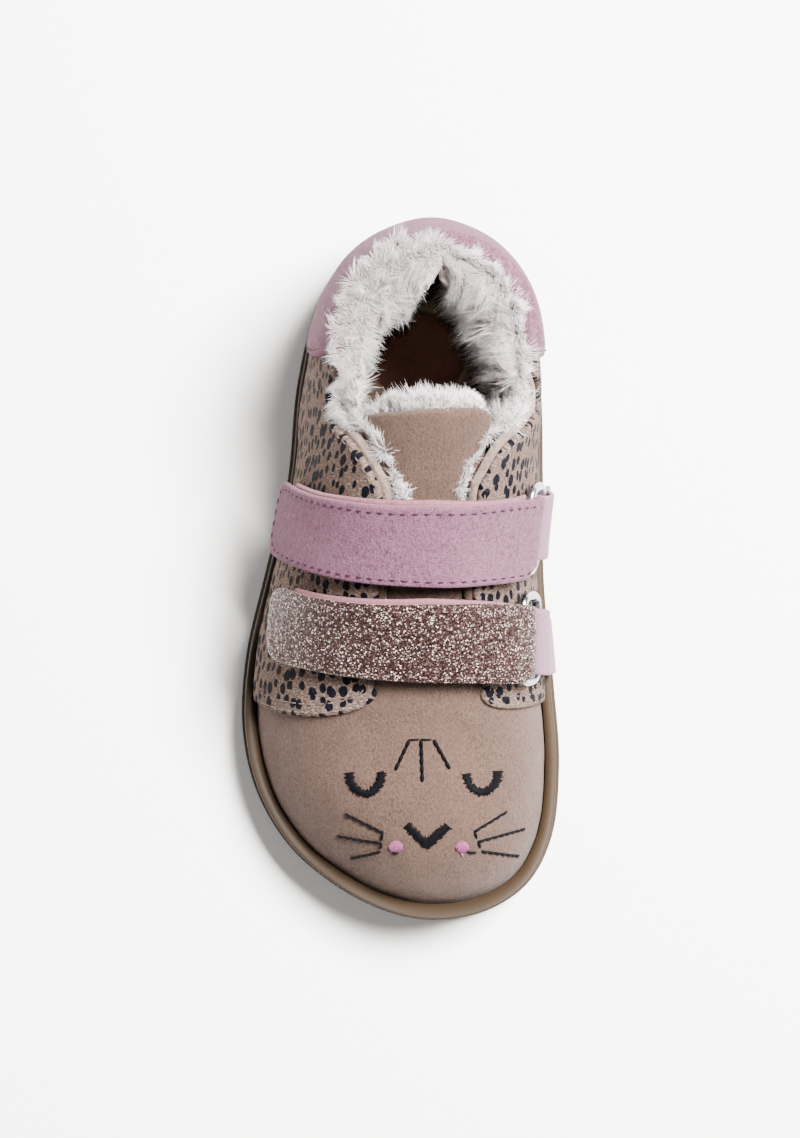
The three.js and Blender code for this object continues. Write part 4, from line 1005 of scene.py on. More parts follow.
BELOW_TOP = np.where(S < TOPLINE["along"][-1] * LENGTH, surface_distance(topline(S) - Z), FAR)
MOUTH = least(BELOW_TOP, throat_field(THROAT))
QUARTER_MOUTH = least(BELOW_TOP, throat_field(THROAT_LONG))
ABOVE_BED = Z - footbed(S) - CLEARANCE
ABOVE_RIM = surface_distance(Z - rim(S) - SEWN)


def quarter_front(rows, sign):
    """Distance behind a quarter's front edge, on its own side of the shoe."""
    edge = line_of(rows, "across", "along", BALL_WIDTH)
    heel_x = OUTLINE["across"][0] * BALL_WIDTH + sign * CLEARANCE / 2
    out_x, axis_x = edge[-1][0], TONGUE_AXIS * BALL_WIDTH
    ring = np.concatenate([edge, [[out_x, -LENGTH], [heel_x, -LENGTH], [heel_x, 0.2 * LENGTH],
                                  [axis_x, 0.3 * LENGTH], [axis_x, edge[0][1]]]])
    return surface_distance(inside(ring, SKIN[:, :2]))


FRONTS = {"outer": quarter_front(OUTER_FRONT, -1), "inner": quarter_front(INNER_FRONT, 1)}
HEEL_LINE = line_of(HEEL_PIECE_FRONT, "along", "height", LENGTH, HEEL_HEIGHT)
HEEL_RING = np.concatenate([HEEL_LINE, [[-LENGTH, 0], [-LENGTH, 1.2 * HEEL_HEIGHT]]])
HEEL_FRONT = surface_distance(inside(HEEL_RING, np.stack([S, Z], axis=1)))
QUARTER = {side: least(QUARTER_MOUTH - LINING_EDGE, front, ABOVE_RIM) for side, front in FRONTS.items()}

# Creases and hollows of the worn leather: place, half length and half width, turn and depth
CREASES = table("x s half_long half_wide turn depth", [
    (2.0, 140.0, 11.0, 2.2, 4.0, -0.25), (-24.0, 112.0, 4.5, 10.0, -12.0, -0.35),
    (-8.0, 108.5, 12.0, 2.4, -6.0, -0.25), (10.0, 107.0, 9.0, 2.0, 8.0, 0.18),
    (24.0, 118.0, 3.5, 12.0, 6.0, 0.25), (-16.0, 130.0, 9.0, 3.0, 38.0, -0.22),
    (22.0, 134.0, 8.0, 2.6, -34.0, -0.2), (-25.0, 95.5, 6.0, 2.2, -24.0, -0.4),
    (-27.0, 74.0, 2.2, 6.5, 8.0, -0.45), (-23.0, 62.0, 5.0, 1.9, 32.0, -0.4),
    (-17.5, 51.5, 4.2, 1.6, 52.0, -0.35), (31.0, 66.0, 2.0, 6.0, -6.0, -0.35),
    (28.0, 51.0, 4.0, 1.7, -48.0, -0.35), (26.0, 96.0, 5.0, 2.0, 18.0, -0.3),
])


def relief(points):
    """Rise of the leather over its smooth form, from the creases and slight unevenness."""
    x, s, z = points[..., 0], points[..., 1], points[..., 2]
    rise = 0.10 * np.sin(x * 0.31 + s * 0.17) * np.sin(s * 0.23 - z * 0.19 + 1.0)
    rise += 0.05 * np.sin(x * 0.71 - s * 0.53 + 2.0) * np.sin(z * 0.61 + s * 0.37)
    for at_x, at_s, half_long, half_wide, degrees, depth in zip(*CREASES.values()):
        turn = math.radians(degrees)
        dx, ds = x - at_x, s - at_s
        u = (dx * math.cos(turn) + ds * math.sin(turn)) / half_long
        v = (-dx * math.sin(turn) + ds * math.cos(turn)) / half_wide
        rise += depth * np.exp(-u**2 - v**2) * (z > RIM_HEIGHT)
    return rise


# Upper, quarters, heel piece and tongue

# Radii of the pieces' edges, and how far inwards the creases come to their full depth
VAMP_EDGE, VAMP_FADE = 0.8, 3
QUARTER_EDGE, QUARTER_FADE = 0.7, 0.9
HEEL_EDGE, HEEL_FADE = 1.3, 1.6
TONGUE_EDGE, TONGUE_FADE = 1.0, 1.5
QUARTER_SEAMS = (1.0, 2.9)  # how far the two rows of stitches lie from a quarter's front edge
HEEL_SEAM = 1.3
SEAM_WIDTH = 0.5
SEAM_DEPTH = 0.12
LINING_END = 0.42  # share of LENGTH up to which the lining shows along the throat
LINING_REACH = 1.0


def seam_dip(distance, middle):
    """The leather drawn in along a row of stitches."""
    return -SEAM_DEPTH * np.exp(-((distance - middle) / SEAM_WIDTH) ** 2)


def vamp_outer(rows):
    """Outer depth of the upper's leather."""
    return (WALL * edge_profile(rows[:, REGION], VAMP_EDGE)
            + relief(rows[:, :3]) * edge_profile(rows[:, REGION], VAMP_FADE))


def vamp_zone(rows):
    """The strip of lining that shows past the quarters along the throat."""
    by_edge = (rows[:, SECOND_EXTRA] < LINING_EDGE + LINING_REACH) & (rows[:, EXTRA] > 0)
    return (by_edge & (rows[:, 1] < LINING_END * LENGTH)).astype(float)


ANY_FRONT = np.maximum(FRONTS["outer"], FRONTS["inner"])
upper = panel("upper_suede", least(MOUTH, ABOVE_BED), 0.0, vamp_outer, VAMP_EDGE,
              [BEIGE, LINING], vamp_zone, extra=(ANY_FRONT, MOUTH))
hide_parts("upper")


def quarter_outer(rows):
    """Outer depth of a quarter, drawn in along its rows of stitches."""
    edge = rows[:, REGION]
    rise = relief(rows[:, :3])
    for seam in QUARTER_SEAMS:
        rise = rise + seam_dip(rows[:, EXTRA], seam)
    return (QUARTER_IN + (QUARTER_OUT - QUARTER_IN) * edge_profile(edge, QUARTER_EDGE)
            + rise * edge_profile(edge, QUARTER_FADE))


for side_name, field in QUARTER.items():
    quarter = panel(f"quarter_{side_name}_suede", field, QUARTER_IN, quarter_outer, QUARTER_EDGE,
                    [SPOTTED], extra=(FRONTS[side_name],))
    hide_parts(f"quarter_{side_name}")

# The heel piece rolls over the upper's top edge into a binding
BINDING = 1.0  # how far the binding stands over the clearance at the top edge
BINDING_DEPTH = 2.0
HEEL_LIP = CLEARANCE + BINDING
BINDING_PUFF, PUFF_PLACE, PUFF_REACH = 0.35, 3.5, 4.0
HEEL_CREASING = 0.5


def heel_inner(rows):
    """Inner depth of the heel piece, which turns in over the top edge."""
    below = rows[:, EXTRA]
    roll = BINDING_DEPTH * (1 - edge_profile(below + HEEL_LIP, BINDING))
    return np.where(below < -CLEARANCE, roll, HEEL_IN)


def heel_outer(rows):
    """Outer depth of the heel piece, a little fuller under its binding."""
    below, edge = rows[:, EXTRA], rows[:, REGION]
    low = heel_inner(rows)
    slope = mix(BINDING_DEPTH, HEEL_IN, np.clip((below + HEEL_LIP) / (HEEL_LIP + BINDING), 0, 1))
    low = np.where(below < BINDING, np.minimum(low, slope), low)
    rise = HEEL_CREASING * relief(rows[:, :3]) + seam_dip(rows[:, SECOND_EXTRA], HEEL_SEAM)
    puff = BINDING_PUFF * np.exp(-((below - PUFF_PLACE) / PUFF_REACH) ** 2)
    leather = (HEEL_OUT - low) * edge_profile(edge, HEEL_EDGE)
    return low + leather + (rise + puff) * edge_profile(edge, HEEL_FADE)


heel_field = least(BELOW_TOP + HEEL_LIP, HEEL_FRONT, ABOVE_RIM)
heel_piece = panel("heel_piece_suede", heel_field, heel_inner, heel_outer, HEEL_EDGE, [PINK],
                   extra=(BELOW_TOP, HEEL_FRONT),
                   levels=[(EXTRA, -CLEARANCE), (EXTRA, -CLEARANCE / 2)])
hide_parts("heel_piece")


TONGUE_STEPS = 60


def tongue_ring(top=None):
    """Outline of the tongue from above. Where top is given, its top edge lies at that share of LENGTH."""
    along = TONGUE["along"].copy()
    if top is not None:
        along[:2] += top - along[0]
    line = smooth_line(np.stack([TONGUE["half"] * BALL_WIDTH, along * LENGTH], axis=1), TONGUE_STEPS)
    axis = TONGUE_AXIS * BALL_WIDTH
    right, left = line * [1, 1] + [axis, 0], line * [-1, 1] + [axis, 0]
    return np.concatenate([right, left[::-1]])


def tongue_field(top=None):
    """Distance inside the tongue's outline, on the top of the shoe."""
    return np.where(Z > RIM_HEIGHT, surface_distance(inside(tongue_ring(top), SKIN[:, :2])), -FAR)


TONGUE_UNDER = -TONGUE_ROOM - TONGUE_THICKNESS
TONGUE_CREASING = 0.25
CREASES_MOVED = (1.7, 1.3, 1.0)  # gives the tongue other creases than the vamp's


def tongue_outer(rows):
    """Outer depth of the tongue."""
    edge = rows[:, REGION]
    rise = TONGUE_CREASING * (relief(rows[:, :3] * CREASES_MOVED) - 1)
    return (TONGUE_UNDER + TONGUE_THICKNESS * edge_profile(edge, TONGUE_EDGE)
            + rise * edge_profile(edge, TONGUE_FADE))


tongue = panel("tongue_suede", tongue_field(), TONGUE_UNDER, tongue_outer, TONGUE_EDGE, [BEIGE])
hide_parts("tongue")

# Cup sole


def ring_mesh(rings):
    """Mesh through rings of equal count."""
    return np.concatenate(rings), np.concatenate(ring_faces(len(rings), len(rings[0])))


def spine_at(height):
    """Line along the middle of the sole that all columns close on."""
    axis, lean = (read(SECTIONS, name, STATION / LENGTH) for name in ("axis", "lean"))
    return np.stack([BALL_WIDTH * (axis + lean), STATION, height(STATION)], axis=1)


def outline_ring(inset, height):
    """Ring at an inset from the sole's outline, at a height over the spring line."""
    place = FOOT - OUT * inset
    return np.column_stack([place, height(place[:, 1]) + spring(place[:, 1])])


def crossing(values, past):
    """In each column, the first row that is past, and the share of the step to it where the value is 0."""
    k = np.maximum(past.argmax(1), 1)
    pick = np.arange(COLUMNS)
    low, high = values[pick, k - 1], values[pick, k]
    return k, np.clip(low / np.where(low == high, 1, low - high), 0, 1)


def last_ring(depth, height):
    """Ring where the skin at a depth crosses a height."""
    points = GRID + NORMALS * depth
    z = points[:, :, 2] - height(points[:, :, 1])
    k, share = crossing(z, z >= 0)
    pick = np.arange(COLUMNS)
    ring = mix(points[pick, k - 1], points[pick, k], share[:, None])
    ring[:, 2] = height(ring[:, 1])
    return ring


def towards_spine(ring, shares, height):
    """Rings that close a floor from a ring to the sole's middle line."""
    spine = spine_at(height)
    made = []
    for share in shares:
        inner = mix(ring, spine, share)
        inner[:, 2] = height(inner[:, 1])
        made.append(inner)
    return made


def flat(value):
    """A height that is the same all along the shoe."""
    return lambda s: np.full(np.shape(s), float(value))


ROUND_STEPS = 5
# Inset and rise over the lower band's height, from the band's edge to the wall's foot
FOXING_EDGE = ((0, -0.3), (0.06, -0.1), (0.3, 0.05), (FOXING_STEP, 0.1), (FOXING_STEP + 0.03, 0.35))
WALL_SHARES = (0.3, 0.65, 1.0)


def sole_side():
    """Rings of the side wall from the tread's edge to the rim."""
    rim_over = lambda s: rim(s) - spring(s)
    rings = []
    for turn in np.linspace(0, math.pi / 2, ROUND_STEPS):
        inset, rise = TREAD_ROUND * (1 - math.sin(turn)), TREAD_ROUND * (1 - math.cos(turn))
        rings.append(outline_ring(inset, flat(rise)))
    rings += [outline_ring(inset, flat(FOXING_HEIGHT + rise)) for inset, rise in FOXING_EDGE]
    wall_foot = FOXING_HEIGHT + FOXING_EDGE[-1][1]
    draft = FOXING_STEP + WALL_DRAFT
    for share in WALL_SHARES:
        rings.append(outline_ring(mix(FOXING_STEP, draft, share),
                                  lambda s, share=share: mix(wall_foot, rim_over(s) - RIM_ROUND, share)))
    for turn in np.linspace(0, math.pi / 2, ROUND_STEPS)[1:]:
        rings.append(outline_ring(draft + RIM_ROUND * (1 - math.cos(turn)),
                                  lambda s, turn=turn: rim_over(s) - RIM_ROUND * (1 - math.sin(turn))))
    return rings


TREAD_RINGS = 24
GROOVE_WALL = 0.3  # how wide a groove's sloping side is
RIM_CHAMFER = 0.4
INNER_SHARES = (0.3, 0.6, 0.85, 1)
FLOOR_SHARES = (0.02, 0.3, 0.6, 1.0)


def make_sole():
    """The cup sole: tread, side, rim and floor as one body, with the tread's grooves cut into it."""
    lip = WALL + CLEARANCE
    chamfer = lambda s: rim(s) - RIM_CHAMFER
    side = sole_side()
    bottom = towards_spine(side[0], np.linspace(1, 0, TREAD_RINGS + 1)[:-1], spring)
    inner = [last_ring(lip, rim), last_ring(lip, chamfer)]
    inner += [last_ring(lip, lambda s, t=t: mix(chamfer(s), footbed(s), t)) for t in INNER_SHARES]
    floor = towards_spine(inner[-1], FLOOR_SHARES, footbed)
    points, tris = ring_mesh(bottom + side + inner + floor)
    low = len(bottom) * COLUMNS + COLUMNS
    place = points[:low]
    fields = np.full((len(points), 2), -FAR)
    fields[:low, 0] = inside(FOOT - OUT * TREAD_BORDER, place[:, :2])
    fields[:low, 1] = place[:, 1] - GROOVE_BOW * (1 - (2 * place[:, 0] / BALL_WIDTH) ** 2)
    grooves = [(WAIST[0] * LENGTH, WAIST[1] * LENGTH)]
    for begin, end in GROOVED:
        grooves += [(s, GROOVE_WIDTH) for s in np.arange(begin * LENGTH, end * LENGTH, GROOVE_PITCH)]
    levels = [(3, 0.0), (3, GROOVE_WALL)]
    for begin, width in grooves:
        end = begin + width
        levels += [(4, level) for level in (begin, begin + GROOVE_WALL, end - GROOVE_WALL, end)]
    rows = np.column_stack([points, fields])
    under = (tris < low).all(1)
    work, rest = tris[under], tris[~under]
    for column, level in levels:
        values, rows, work = split(rows[:, column], level, rows, work)
        rows[:, column] = values
    depth = np.zeros(len(rows))
    for begin, width in grooves:
        reach = np.minimum(rows[:, 4] - begin, begin + width - rows[:, 4])
        depth = np.maximum(depth, np.minimum(reach, rows[:, 3]))
    rows[:, 2] += GROOVE_DEPTH * np.clip(depth / GROOVE_WALL, 0, 1)
    return rows[:, :3], np.concatenate([work, rest])


outsole = make_mesh("outsole_rubber", *make_sole(), [RUBBER])
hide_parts("outsole")


INSOLE_THICKNESS = 2.6


def make_insole():
    """The footbed: a board with rounded top edges, inside the last's foot."""
    base = lambda s: footbed(s) + CLEARANCE
    top = lambda s: base(s) + INSOLE_THICKNESS
    lower, higher = last_ring(-CLEARANCE, base), last_ring(-CLEARANCE, top)
    rings = towards_spine(lower, (1.0, 0.5), base) + [lower]
    rings += [mix(lower, higher, t) for t in (0.25, 0.8)]
    return ring_mesh(rings + towards_spine(higher, (0.01, 0.03, 0.3, 0.6, 1.0), top))


insole = make_mesh("insole_leather", *make_insole(), [FOOTBED])
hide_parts("insole")

# Straps, loops and tabs


UPPER_LAYER = 1.03  # how much wider a strap's upper layer lies than the lower one
SPREAD_START, SPREAD_END = 0.1, 0.05
BAND_ROUND = 0.5
FOLD_STEPS = 13
EVEN = np.linspace(-1, 1, 25)
DENSER = mix(EVEN, np.sin(EVEN * math.pi / 2), 0.35)
# Places across a band, closer towards its edges
ACROSS = np.concatenate([[-1, -0.99], DENSER[1:-1], [0.99, 1]])


class Course:
    """Where a strap's middle line runs, how wide it is, and the measures of its two sides."""

    def __init__(self, spec):
        self.spec = spec
        self.station = spec["along"] * LENGTH
        self.per_mm = 1 / way_length(self.station, 1)
        self.per_mm_outer = 1 / way_length(self.station, -1)

    def middle(self, way):
        spec = self.spec
        outer, inner = np.abs(way) / spec["tip"], np.abs(way) / spec["bar"]
        bend = lambda share: np.where(share < 1, share**2, 2 * share - 1)
        return self.station - LENGTH * np.where(way < 0, spec["outer_sweep"] * bend(outer),
                                                spec["inner_sweep"] * bend(inner))

    def half(self, way):
        return STRAP_HALF_WIDTH * mix(1, STRAP_END_NARROWING, np.minimum(np.abs(way) / self.spec["bar"], 1))

    def step(self, way):
        return np.where(way < 0, self.per_mm_outer, self.per_mm)

    def spread(self, way):
        """How much wider the upper layer lies than the lower one, and how far it drifts to the toe."""
        spec = self.spec
        bar = spec["bar"]
        begun = smooth_step((way + SPREAD_START) / (bar + SPREAD_START))
        by_loop = begun * smooth_step((bar - way) / SPREAD_END)
        return UPPER_LAYER + spec["loop_spread"] * by_loop, spec["loop_drift"] * by_loop


def band(course, path, thickness, shift=None, scale=1.0, offset=None):
    """A closed band along a path of (way, depth): its points, its faces, and 1 for those of its outer side.
    shift moves the way of points, scale widens the band, and offset moves it along the shoe."""
    measure = np.stack([path[:, 0] / course.step(path[:, 0]), path[:, 1]], axis=1)
    along = unit(np.gradient(measure, axis=0))
    side = np.stack([-along[:, 1], along[:, 0]], axis=1)
    n = len(ACROSS)
    scale = np.broadcast_to(scale, len(path))
    half = course.half(path[:, 0]) * scale
    at = np.abs(ACROSS)[None, :] * half[:, None]
    share = np.clip((at - (half[:, None] - BAND_ROUND)) / BAND_ROUND, 0, 1)
    lift = thickness / 2 * (1 - share**3) ** (1 / 3)
    sheets = []
    for sign in (1, -1):
        way = path[:, :1] + side[:, :1] * sign * lift * course.step(path[:, :1])
        depth = path[:, 1:] + side[:, 1:] * sign * lift
        if shift is not None:
            way = way + shift(way, ACROSS[None, :])
        aside = 0 if offset is None else offset(np.arange(len(path)))[:, None]
        station = course.middle(way) + ACROSS[None, :] * course.half(way) * scale[:, None] + aside
        points, _ = on_skin(station, way, depth)
        sheets.append(points)
    ring = np.concatenate([sheets[0], sheets[1][:, -2:0:-1]], axis=1)
    size = ring.shape[1]
    last = (len(path) - 1) * size
    quads, zones = [], []
    k = np.arange(size)
    after = (k + 1) % size
    for row in range(0, last, size):
        quads.append(row + np.stack([k, after, after + size, k + size], 1))
        zones.append(k < n - 1)
    for start, turn in ((0, 1), (last, -1)):
        j = np.arange(1, n - 2)
        cap = np.stack([start + j, start + j + 1, start + size - j - 1, start + size - j], 1)
        ends = np.array([[start, start + 1, start + size - 1, start + size - 1],
                         [start + n - 2, start + n - 1, start + n, start + n]])
        quads.append(np.concatenate([cap, ends])[:, ::-turn])
        zones.append(np.ones(len(quads[-1]), bool))
    quads, zones = np.concatenate(quads), np.concatenate(zones)
    tris = np.concatenate([quads[:, [0, 1, 2]], quads[:, [0, 2, 3]]])
    zones = np.tile(zones, 2)
    return ring.reshape(-1, 3), *without_slivers(tris, zones.astype(int))


def strap_path(course):
    """Path of a strap: fixed end, lower layer, round the bar, and back over to the free tip. Also gives
    where the fold round the bar starts and ends in it."""
    spec = course.spec
    bar, per_mm = spec["bar"], course.per_mm
    mid = WIRE_RADIUS + CLEARANCE + STRAP_THICKNESS / 2
    low = STRAP_IN + STRAP_THICKNESS / 2
    rest = STRAP_IN + STRAP_THICKNESS + STRAP_SLIT + STRAP_THICKNESS / 2
    climb = STRAP_CLIMB * per_mm
    under = np.linspace(-spec["anchor"], bar, 90)[:-1]
    lower = np.stack([under, mix(low, WIRE_DEPTH - mid, smooth_step((under - bar + climb) / climb))], axis=1)
    turn = np.linspace(-math.pi / 2, math.pi / 2, FOLD_STEPS)
    fold = np.stack([bar + mid * per_mm * np.cos(turn), WIRE_DEPTH + mid * np.sin(turn)], axis=1)
    back = np.linspace(bar, -spec["tip"], 100)[1:]
    upper_depth = mix(rest, WIRE_DEPTH + mid, smooth_step((back - bar + climb) / climb))
    path = np.concatenate([lower, fold, np.stack([back, upper_depth], axis=1)])
    return path, len(lower), len(lower) + len(fold)


LAYER_SLIP = 0.7  # how far the lower layer shows past the upper one
SLIP_STEPS = 40
TIP_SHARE = 0.35


def make_strap(name, face, back):
    """A strap's band. Gives its course and the path of its upper layer."""
    course = Course(STRAPS[name])
    path, fold_start, fold_end = strap_path(course)
    spec = course.spec
    corner = TIP_CORNER * course.per_mm_outer
    is_upper = np.arange(len(path)) >= fold_end

    def shift(way, w):
        end = (spec["tip"] + way) / (spec["tip"] * TIP_SHARE)
        back_by = corner * (1 - np.sqrt(np.maximum(1 - w**4, 0)))
        top = is_upper[:, None]
        return np.where(top & (end < 1), back_by * (1 - np.clip(end, 0, 1)), 0)

    wider, drift = course.spread(path[:, 0])

    def offset(i):
        return np.where(is_upper, drift,
                        -LAYER_SLIP * (1 - smooth_step((i - fold_start + SLIP_STEPS) / SLIP_STEPS)))

    points, tris, zones = band(course, path, STRAP_THICKNESS, shift, np.where(is_upper, wider, 1), offset)
    strap = make_mesh(f"strap_{name}_band", points, tris, [face, back], zones)
    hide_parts(f"strap_{name}")
    return course, path[fold_end:]


def loop_frame(course):
    """A loop's centre, its three directions, and the way of its far bar."""
    bar = course.spec["bar"]
    far_bar = bar + LOOP_WIDTH * course.per_mm
    middle = course.middle(bar)

    def at(way, step):
        return on_skin(middle + step, way, WIRE_DEPTH)[0]

    near = at(bar, 0)
    along = unit(at((bar + far_bar) / 2, STRAP_HALF_WIDTH) - at((bar + far_bar) / 2, -STRAP_HALF_WIDTH))
    over = at(far_bar, 0) - near
    over = unit(over - along * (over @ along))
    return near + over * LOOP_WIDTH / 2, along, over, np.cross(along, over), far_bar


CORNER_STEPS = 10
WIRE_SIDES = 14


def make_loop(name, course):
    """A ring of wire with rounded corners, its near bar in the strap's fold."""
    centre, along, over, normal, _ = loop_frame(course)
    half_long = STRAP_HALF_WIDTH * STRAP_END_NARROWING + LOOP_PLAY + WIRE_RADIUS
    half_wide = LOOP_WIDTH / 2
    line = []
    for a, b, quarter in ((1, 1, 0), (-1, 1, 1), (-1, -1, 2), (1, -1, 3)):
        for turn in math.pi / 2 * (quarter + np.linspace(0, 1, CORNER_STEPS)):
            line.append(centre + along * (a * (half_long - LOOP_CORNER) + LOOP_CORNER * math.cos(turn))
                        + over * (b * (half_wide - LOOP_CORNER) + LOOP_CORNER * math.sin(turn)))
    line = np.array(line)
    tangent = unit(np.roll(line, -1, axis=0) - np.roll(line, 1, axis=0))
    sideways = unit(np.cross(tangent, normal))
    turn = 2 * math.pi * np.arange(WIRE_SIDES) / WIRE_SIDES
    rings = line[:, None] + WIRE_RADIUS * (np.cos(turn)[None, :, None] * sideways[:, None]
                                           + np.sin(turn)[None, :, None] * normal)
    count = len(line)
    i, k = np.meshgrid(np.arange(count), np.arange(WIRE_SIDES), indexing="ij")
    here, there, after = i * WIRE_SIDES, (i + 1) % count * WIRE_SIDES, (k + 1) % WIRE_SIDES
    faces = np.stack([here + k, here + after, there + after, there + k], axis=-1).reshape(-1, 4)
    loop = make_mesh(f"loop_{name}_wire", rings.reshape(-1, 3), faces, [METAL])
    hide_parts(f"loop_{name}")


LAYER_GAP = 0.05
TAB_CLIMB = 0.55  # share of a tab's length over which it climbs to the loop
TAB_TAPER = 0.14
TAB_STEPS = 30


def make_tab(name, course, finish):
    """A doubled strip from the quarter round the loop's far bar."""
    far_bar = loop_frame(course)[4]
    end = far_bar + TAB_LENGTH * course.per_mm
    layer = TAB_FOLD - LAYER_GAP
    mid = WIRE_RADIUS + CLEARANCE + TAB_FOLD / 2
    t = np.linspace(0, 1, TAB_STEPS)[1:]
    low = STRAP_IN + layer / 2
    flat_top = STRAP_IN + TAB_THICKNESS - layer / 2
    way = mix(far_bar, end, t)
    climbed = smooth_step(1 - t / TAB_CLIMB) ** 2
    lower = np.stack([way, mix(low, WIRE_DEPTH - mid, climbed)], axis=1)[::-1]
    turn = np.linspace(-math.pi / 2, -math.pi * 1.5, FOLD_STEPS)
    fold = np.stack([far_bar + mid * course.per_mm * np.cos(turn), WIRE_DEPTH + mid * np.sin(turn)], axis=1)
    top = np.stack([way, mix(WIRE_DEPTH + mid, flat_top, smooth_step(t / TAB_CLIMB))], axis=1)
    path = np.concatenate([lower, fold, top])
    taper = np.clip((path[:, 0] - far_bar) / (end - far_bar), 0, 1)
    points, tris, _ = band(course, path, layer, scale=TAB_NARROWING * (1 - TAB_TAPER * taper**1.5))
    tab = make_mesh(f"loop_tab_{name}_band", points, tris, [finish])
    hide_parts(f"loop_tab_{name}")


STRAPS_MADE = {}
for strap_name, face in (("upper", PINK), ("lower", GLITTER)):
    STRAPS_MADE[strap_name] = make_strap(strap_name, face, ROSE)
    make_loop(strap_name, STRAPS_MADE[strap_name][0])
    make_tab(strap_name, STRAPS_MADE[strap_name][0], LILAC)

# Pile


def edge_shares():
    """Share of each column where the collar's edge crosses it."""
    field = MOUTH[SKIN_INDEX]
    beyond = field < 0
    k, share = crossing(field, beyond)
    return np.where(beyond.any(1), (k - 1 + share) / WALL_ROWS, 1.0)


EDGE = edge_shares()
PAST = int(round(FUR_PAST_HEEL / (TOE_POLE - HEEL_POLE) * SIDE_COLUMNS))
PILE_START, PILE_END = -PAST, HEEL_COLUMNS + PAST


def pile_place(c, drop, depth):
    """Places and normals in the pile: its column, the share of its height below the collar's edge, and the
    share of its depth into the shoe."""
    c = np.asarray(c, float)
    away = np.abs(c - (PILE_START + PILE_END) / 2) / ((PILE_END - PILE_START) / 2)
    fullness = mix(1, FUR_END_DEPTH, smooth_step((away - 0.5) / 0.5))
    index = c % COLUMNS
    low = np.floor(index).astype(int) % COLUMNS
    high = (low + 1) % COLUMNS
    u = index - np.floor(index)
    edge = mix(EDGE[low], EDGE[high], u)
    length = mix(WALL_LENGTHS[low], WALL_LENGTHS[high], u)
    return in_column(c, edge - drop * FUR_HEIGHT / length, -CLEARANCE - depth * FUR_DEPTH * fullness)


SECTION_LINE = closed_line(np.stack([FUR_SECTION["drop"], FUR_SECTION["depth"]], axis=1), 4)


WAVES = 6
WAVES_SPREAD = 2.4  # about the spread of that many waves together


def noise_field(points, size, seed):
    """Smooth random vectors over space."""
    source = np.random.default_rng(seed)
    total = np.zeros(points.shape)
    for _ in range(WAVES):
        wave = source.normal(0, 1, 3)
        wave *= 2 * math.pi / size / np.linalg.norm(wave)
        total += np.sin(points @ wave + source.uniform(0, 6.3))[:, None] * source.normal(0, 1, 3)
    return total / WAVES_SPREAD


# How the pile lies round the collar, from the inner end over the heel to the outer end: how far it spills
# over the band, and how far it stands into the shoe
PILE_LIE = table("share spill reach", [
    (0.0, 0.3, 1.0), (0.16, 0.3, 1.2), (0.3, 0.3, 1.25), (0.4, 0.35, 1.1), (0.46, 0.6, 0.84),
    (0.5, 0.9, 0.5), (0.54, 1.4, 0.8), (0.6, 2.0, 1.0), (0.7, 2.0, 1.0), (0.85, 1.8, 0.66),
    (1.0, 1.2, 0.66),
])
PARTING = 0.502  # share of the way round where the pile parts, behind the heel
PARTING_REACH = 0.08
PARTING_LEAN = 1.3


def lie(c, name):
    """A column of that table at columns of the skin."""
    return np.interp((c - PILE_START) / (PILE_END - PILE_START), PILE_LIE["share"], PILE_LIE[name])


ROLL_RINGS = 170
ROLL_MIDDLE = (0.42, 0.4)
ROLL_SIZE = 0.82  # size of the roll under the hair, as a share of the solid's section
ROLL_LEAST_DEPTH = 0.02
LUMPS = ((5.0, 21, 0.45), (2.1, 22, 0.22))  # size, seed and height of the roll's unevenness


def make_roll():
    """The roll that the collar's hair stands on."""
    line = mix(np.array(ROLL_MIDDLE), SECTION_LINE, ROLL_SIZE)
    rings = []
    for c in np.linspace(PILE_START, PILE_END, ROLL_RINGS):
        depth = np.maximum(line[:, 1] * min(lie(c, "reach"), 1.0), ROLL_LEAST_DEPTH)
        rings.append(pile_place(np.full(len(line), c), line[:, 0], depth)[0])
    points, tris = ring_mesh(rings)
    points = points + sum(noise_field(points, size, seed) * height for size, seed, height in LUMPS)
    count = len(line)
    fan = np.array([[0, j + 1, j] for j in range(1, count - 1)])
    return points, np.concatenate([tris, fan, fan[:, ::-1] + (len(rings) - 1) * count])


# Painted shade of the roll under the hair, as a share of the way from root to tip
ROOT_SHADE = 0.3
roll_points, roll_tris = make_roll()
roll = make_mesh("collar_pile_ground", roll_points, roll_tris, [PILE],
                 shade=np.full(len(roll_points), ROOT_SHADE))
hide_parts("collar_fur")


LONG_HAIR = (1.0, 0.85, 0.5, 0.0)  # radii from root to tip, as shares of a hair's own radius
SHORT_HAIR = (1.0, 0.75, 0.0)
HAIR_UP = (0.3, 0.2, 0.93)  # sets which way the sides of a hair face
# Least and greatest length and radius of the hairs, how far they scatter, and how many a piece has
COLLAR_HAIR = {"length": (3.4, 7.4), "radius": (0.05, 0.085), "scatter": 0.11, "count": 10200}
FRINGE_HAIR = {"length": (1.6, 4.4), "radius": (0.05, 0.08), "scatter": 0.16, "count": 5500}
THROAT_HAIR = {"length": (1.5, 3.6), "radius": (0.045, 0.08), "scatter": 0.14, "count": 6000}


def strands(root, aim, length, bend, width, radii=SHORT_HAIR):
    """Closed tapering hairs from roots. bend is how far each tip is drawn aside, in millimetres."""
    steps = len(radii)
    t = np.linspace(0, 1, steps)[None, :, None]
    centre = root[:, None] + aim[:, None] * length[:, None, None] * t + bend[:, None] * t**2
    radii = width[:, None] * np.array([radii])
    points, tris = tubes(centre, radii, 3, np.tile(HAIR_UP, (len(root), 1)), pointed=True)
    # Shade runs from 0 at the root to 1 at the tip: painted shade that darkens each hair towards its root
    shade = np.tile(np.repeat(np.linspace(0, 1, steps), [3] * (steps - 1) + [1]), len(root))
    return points, tris, shade


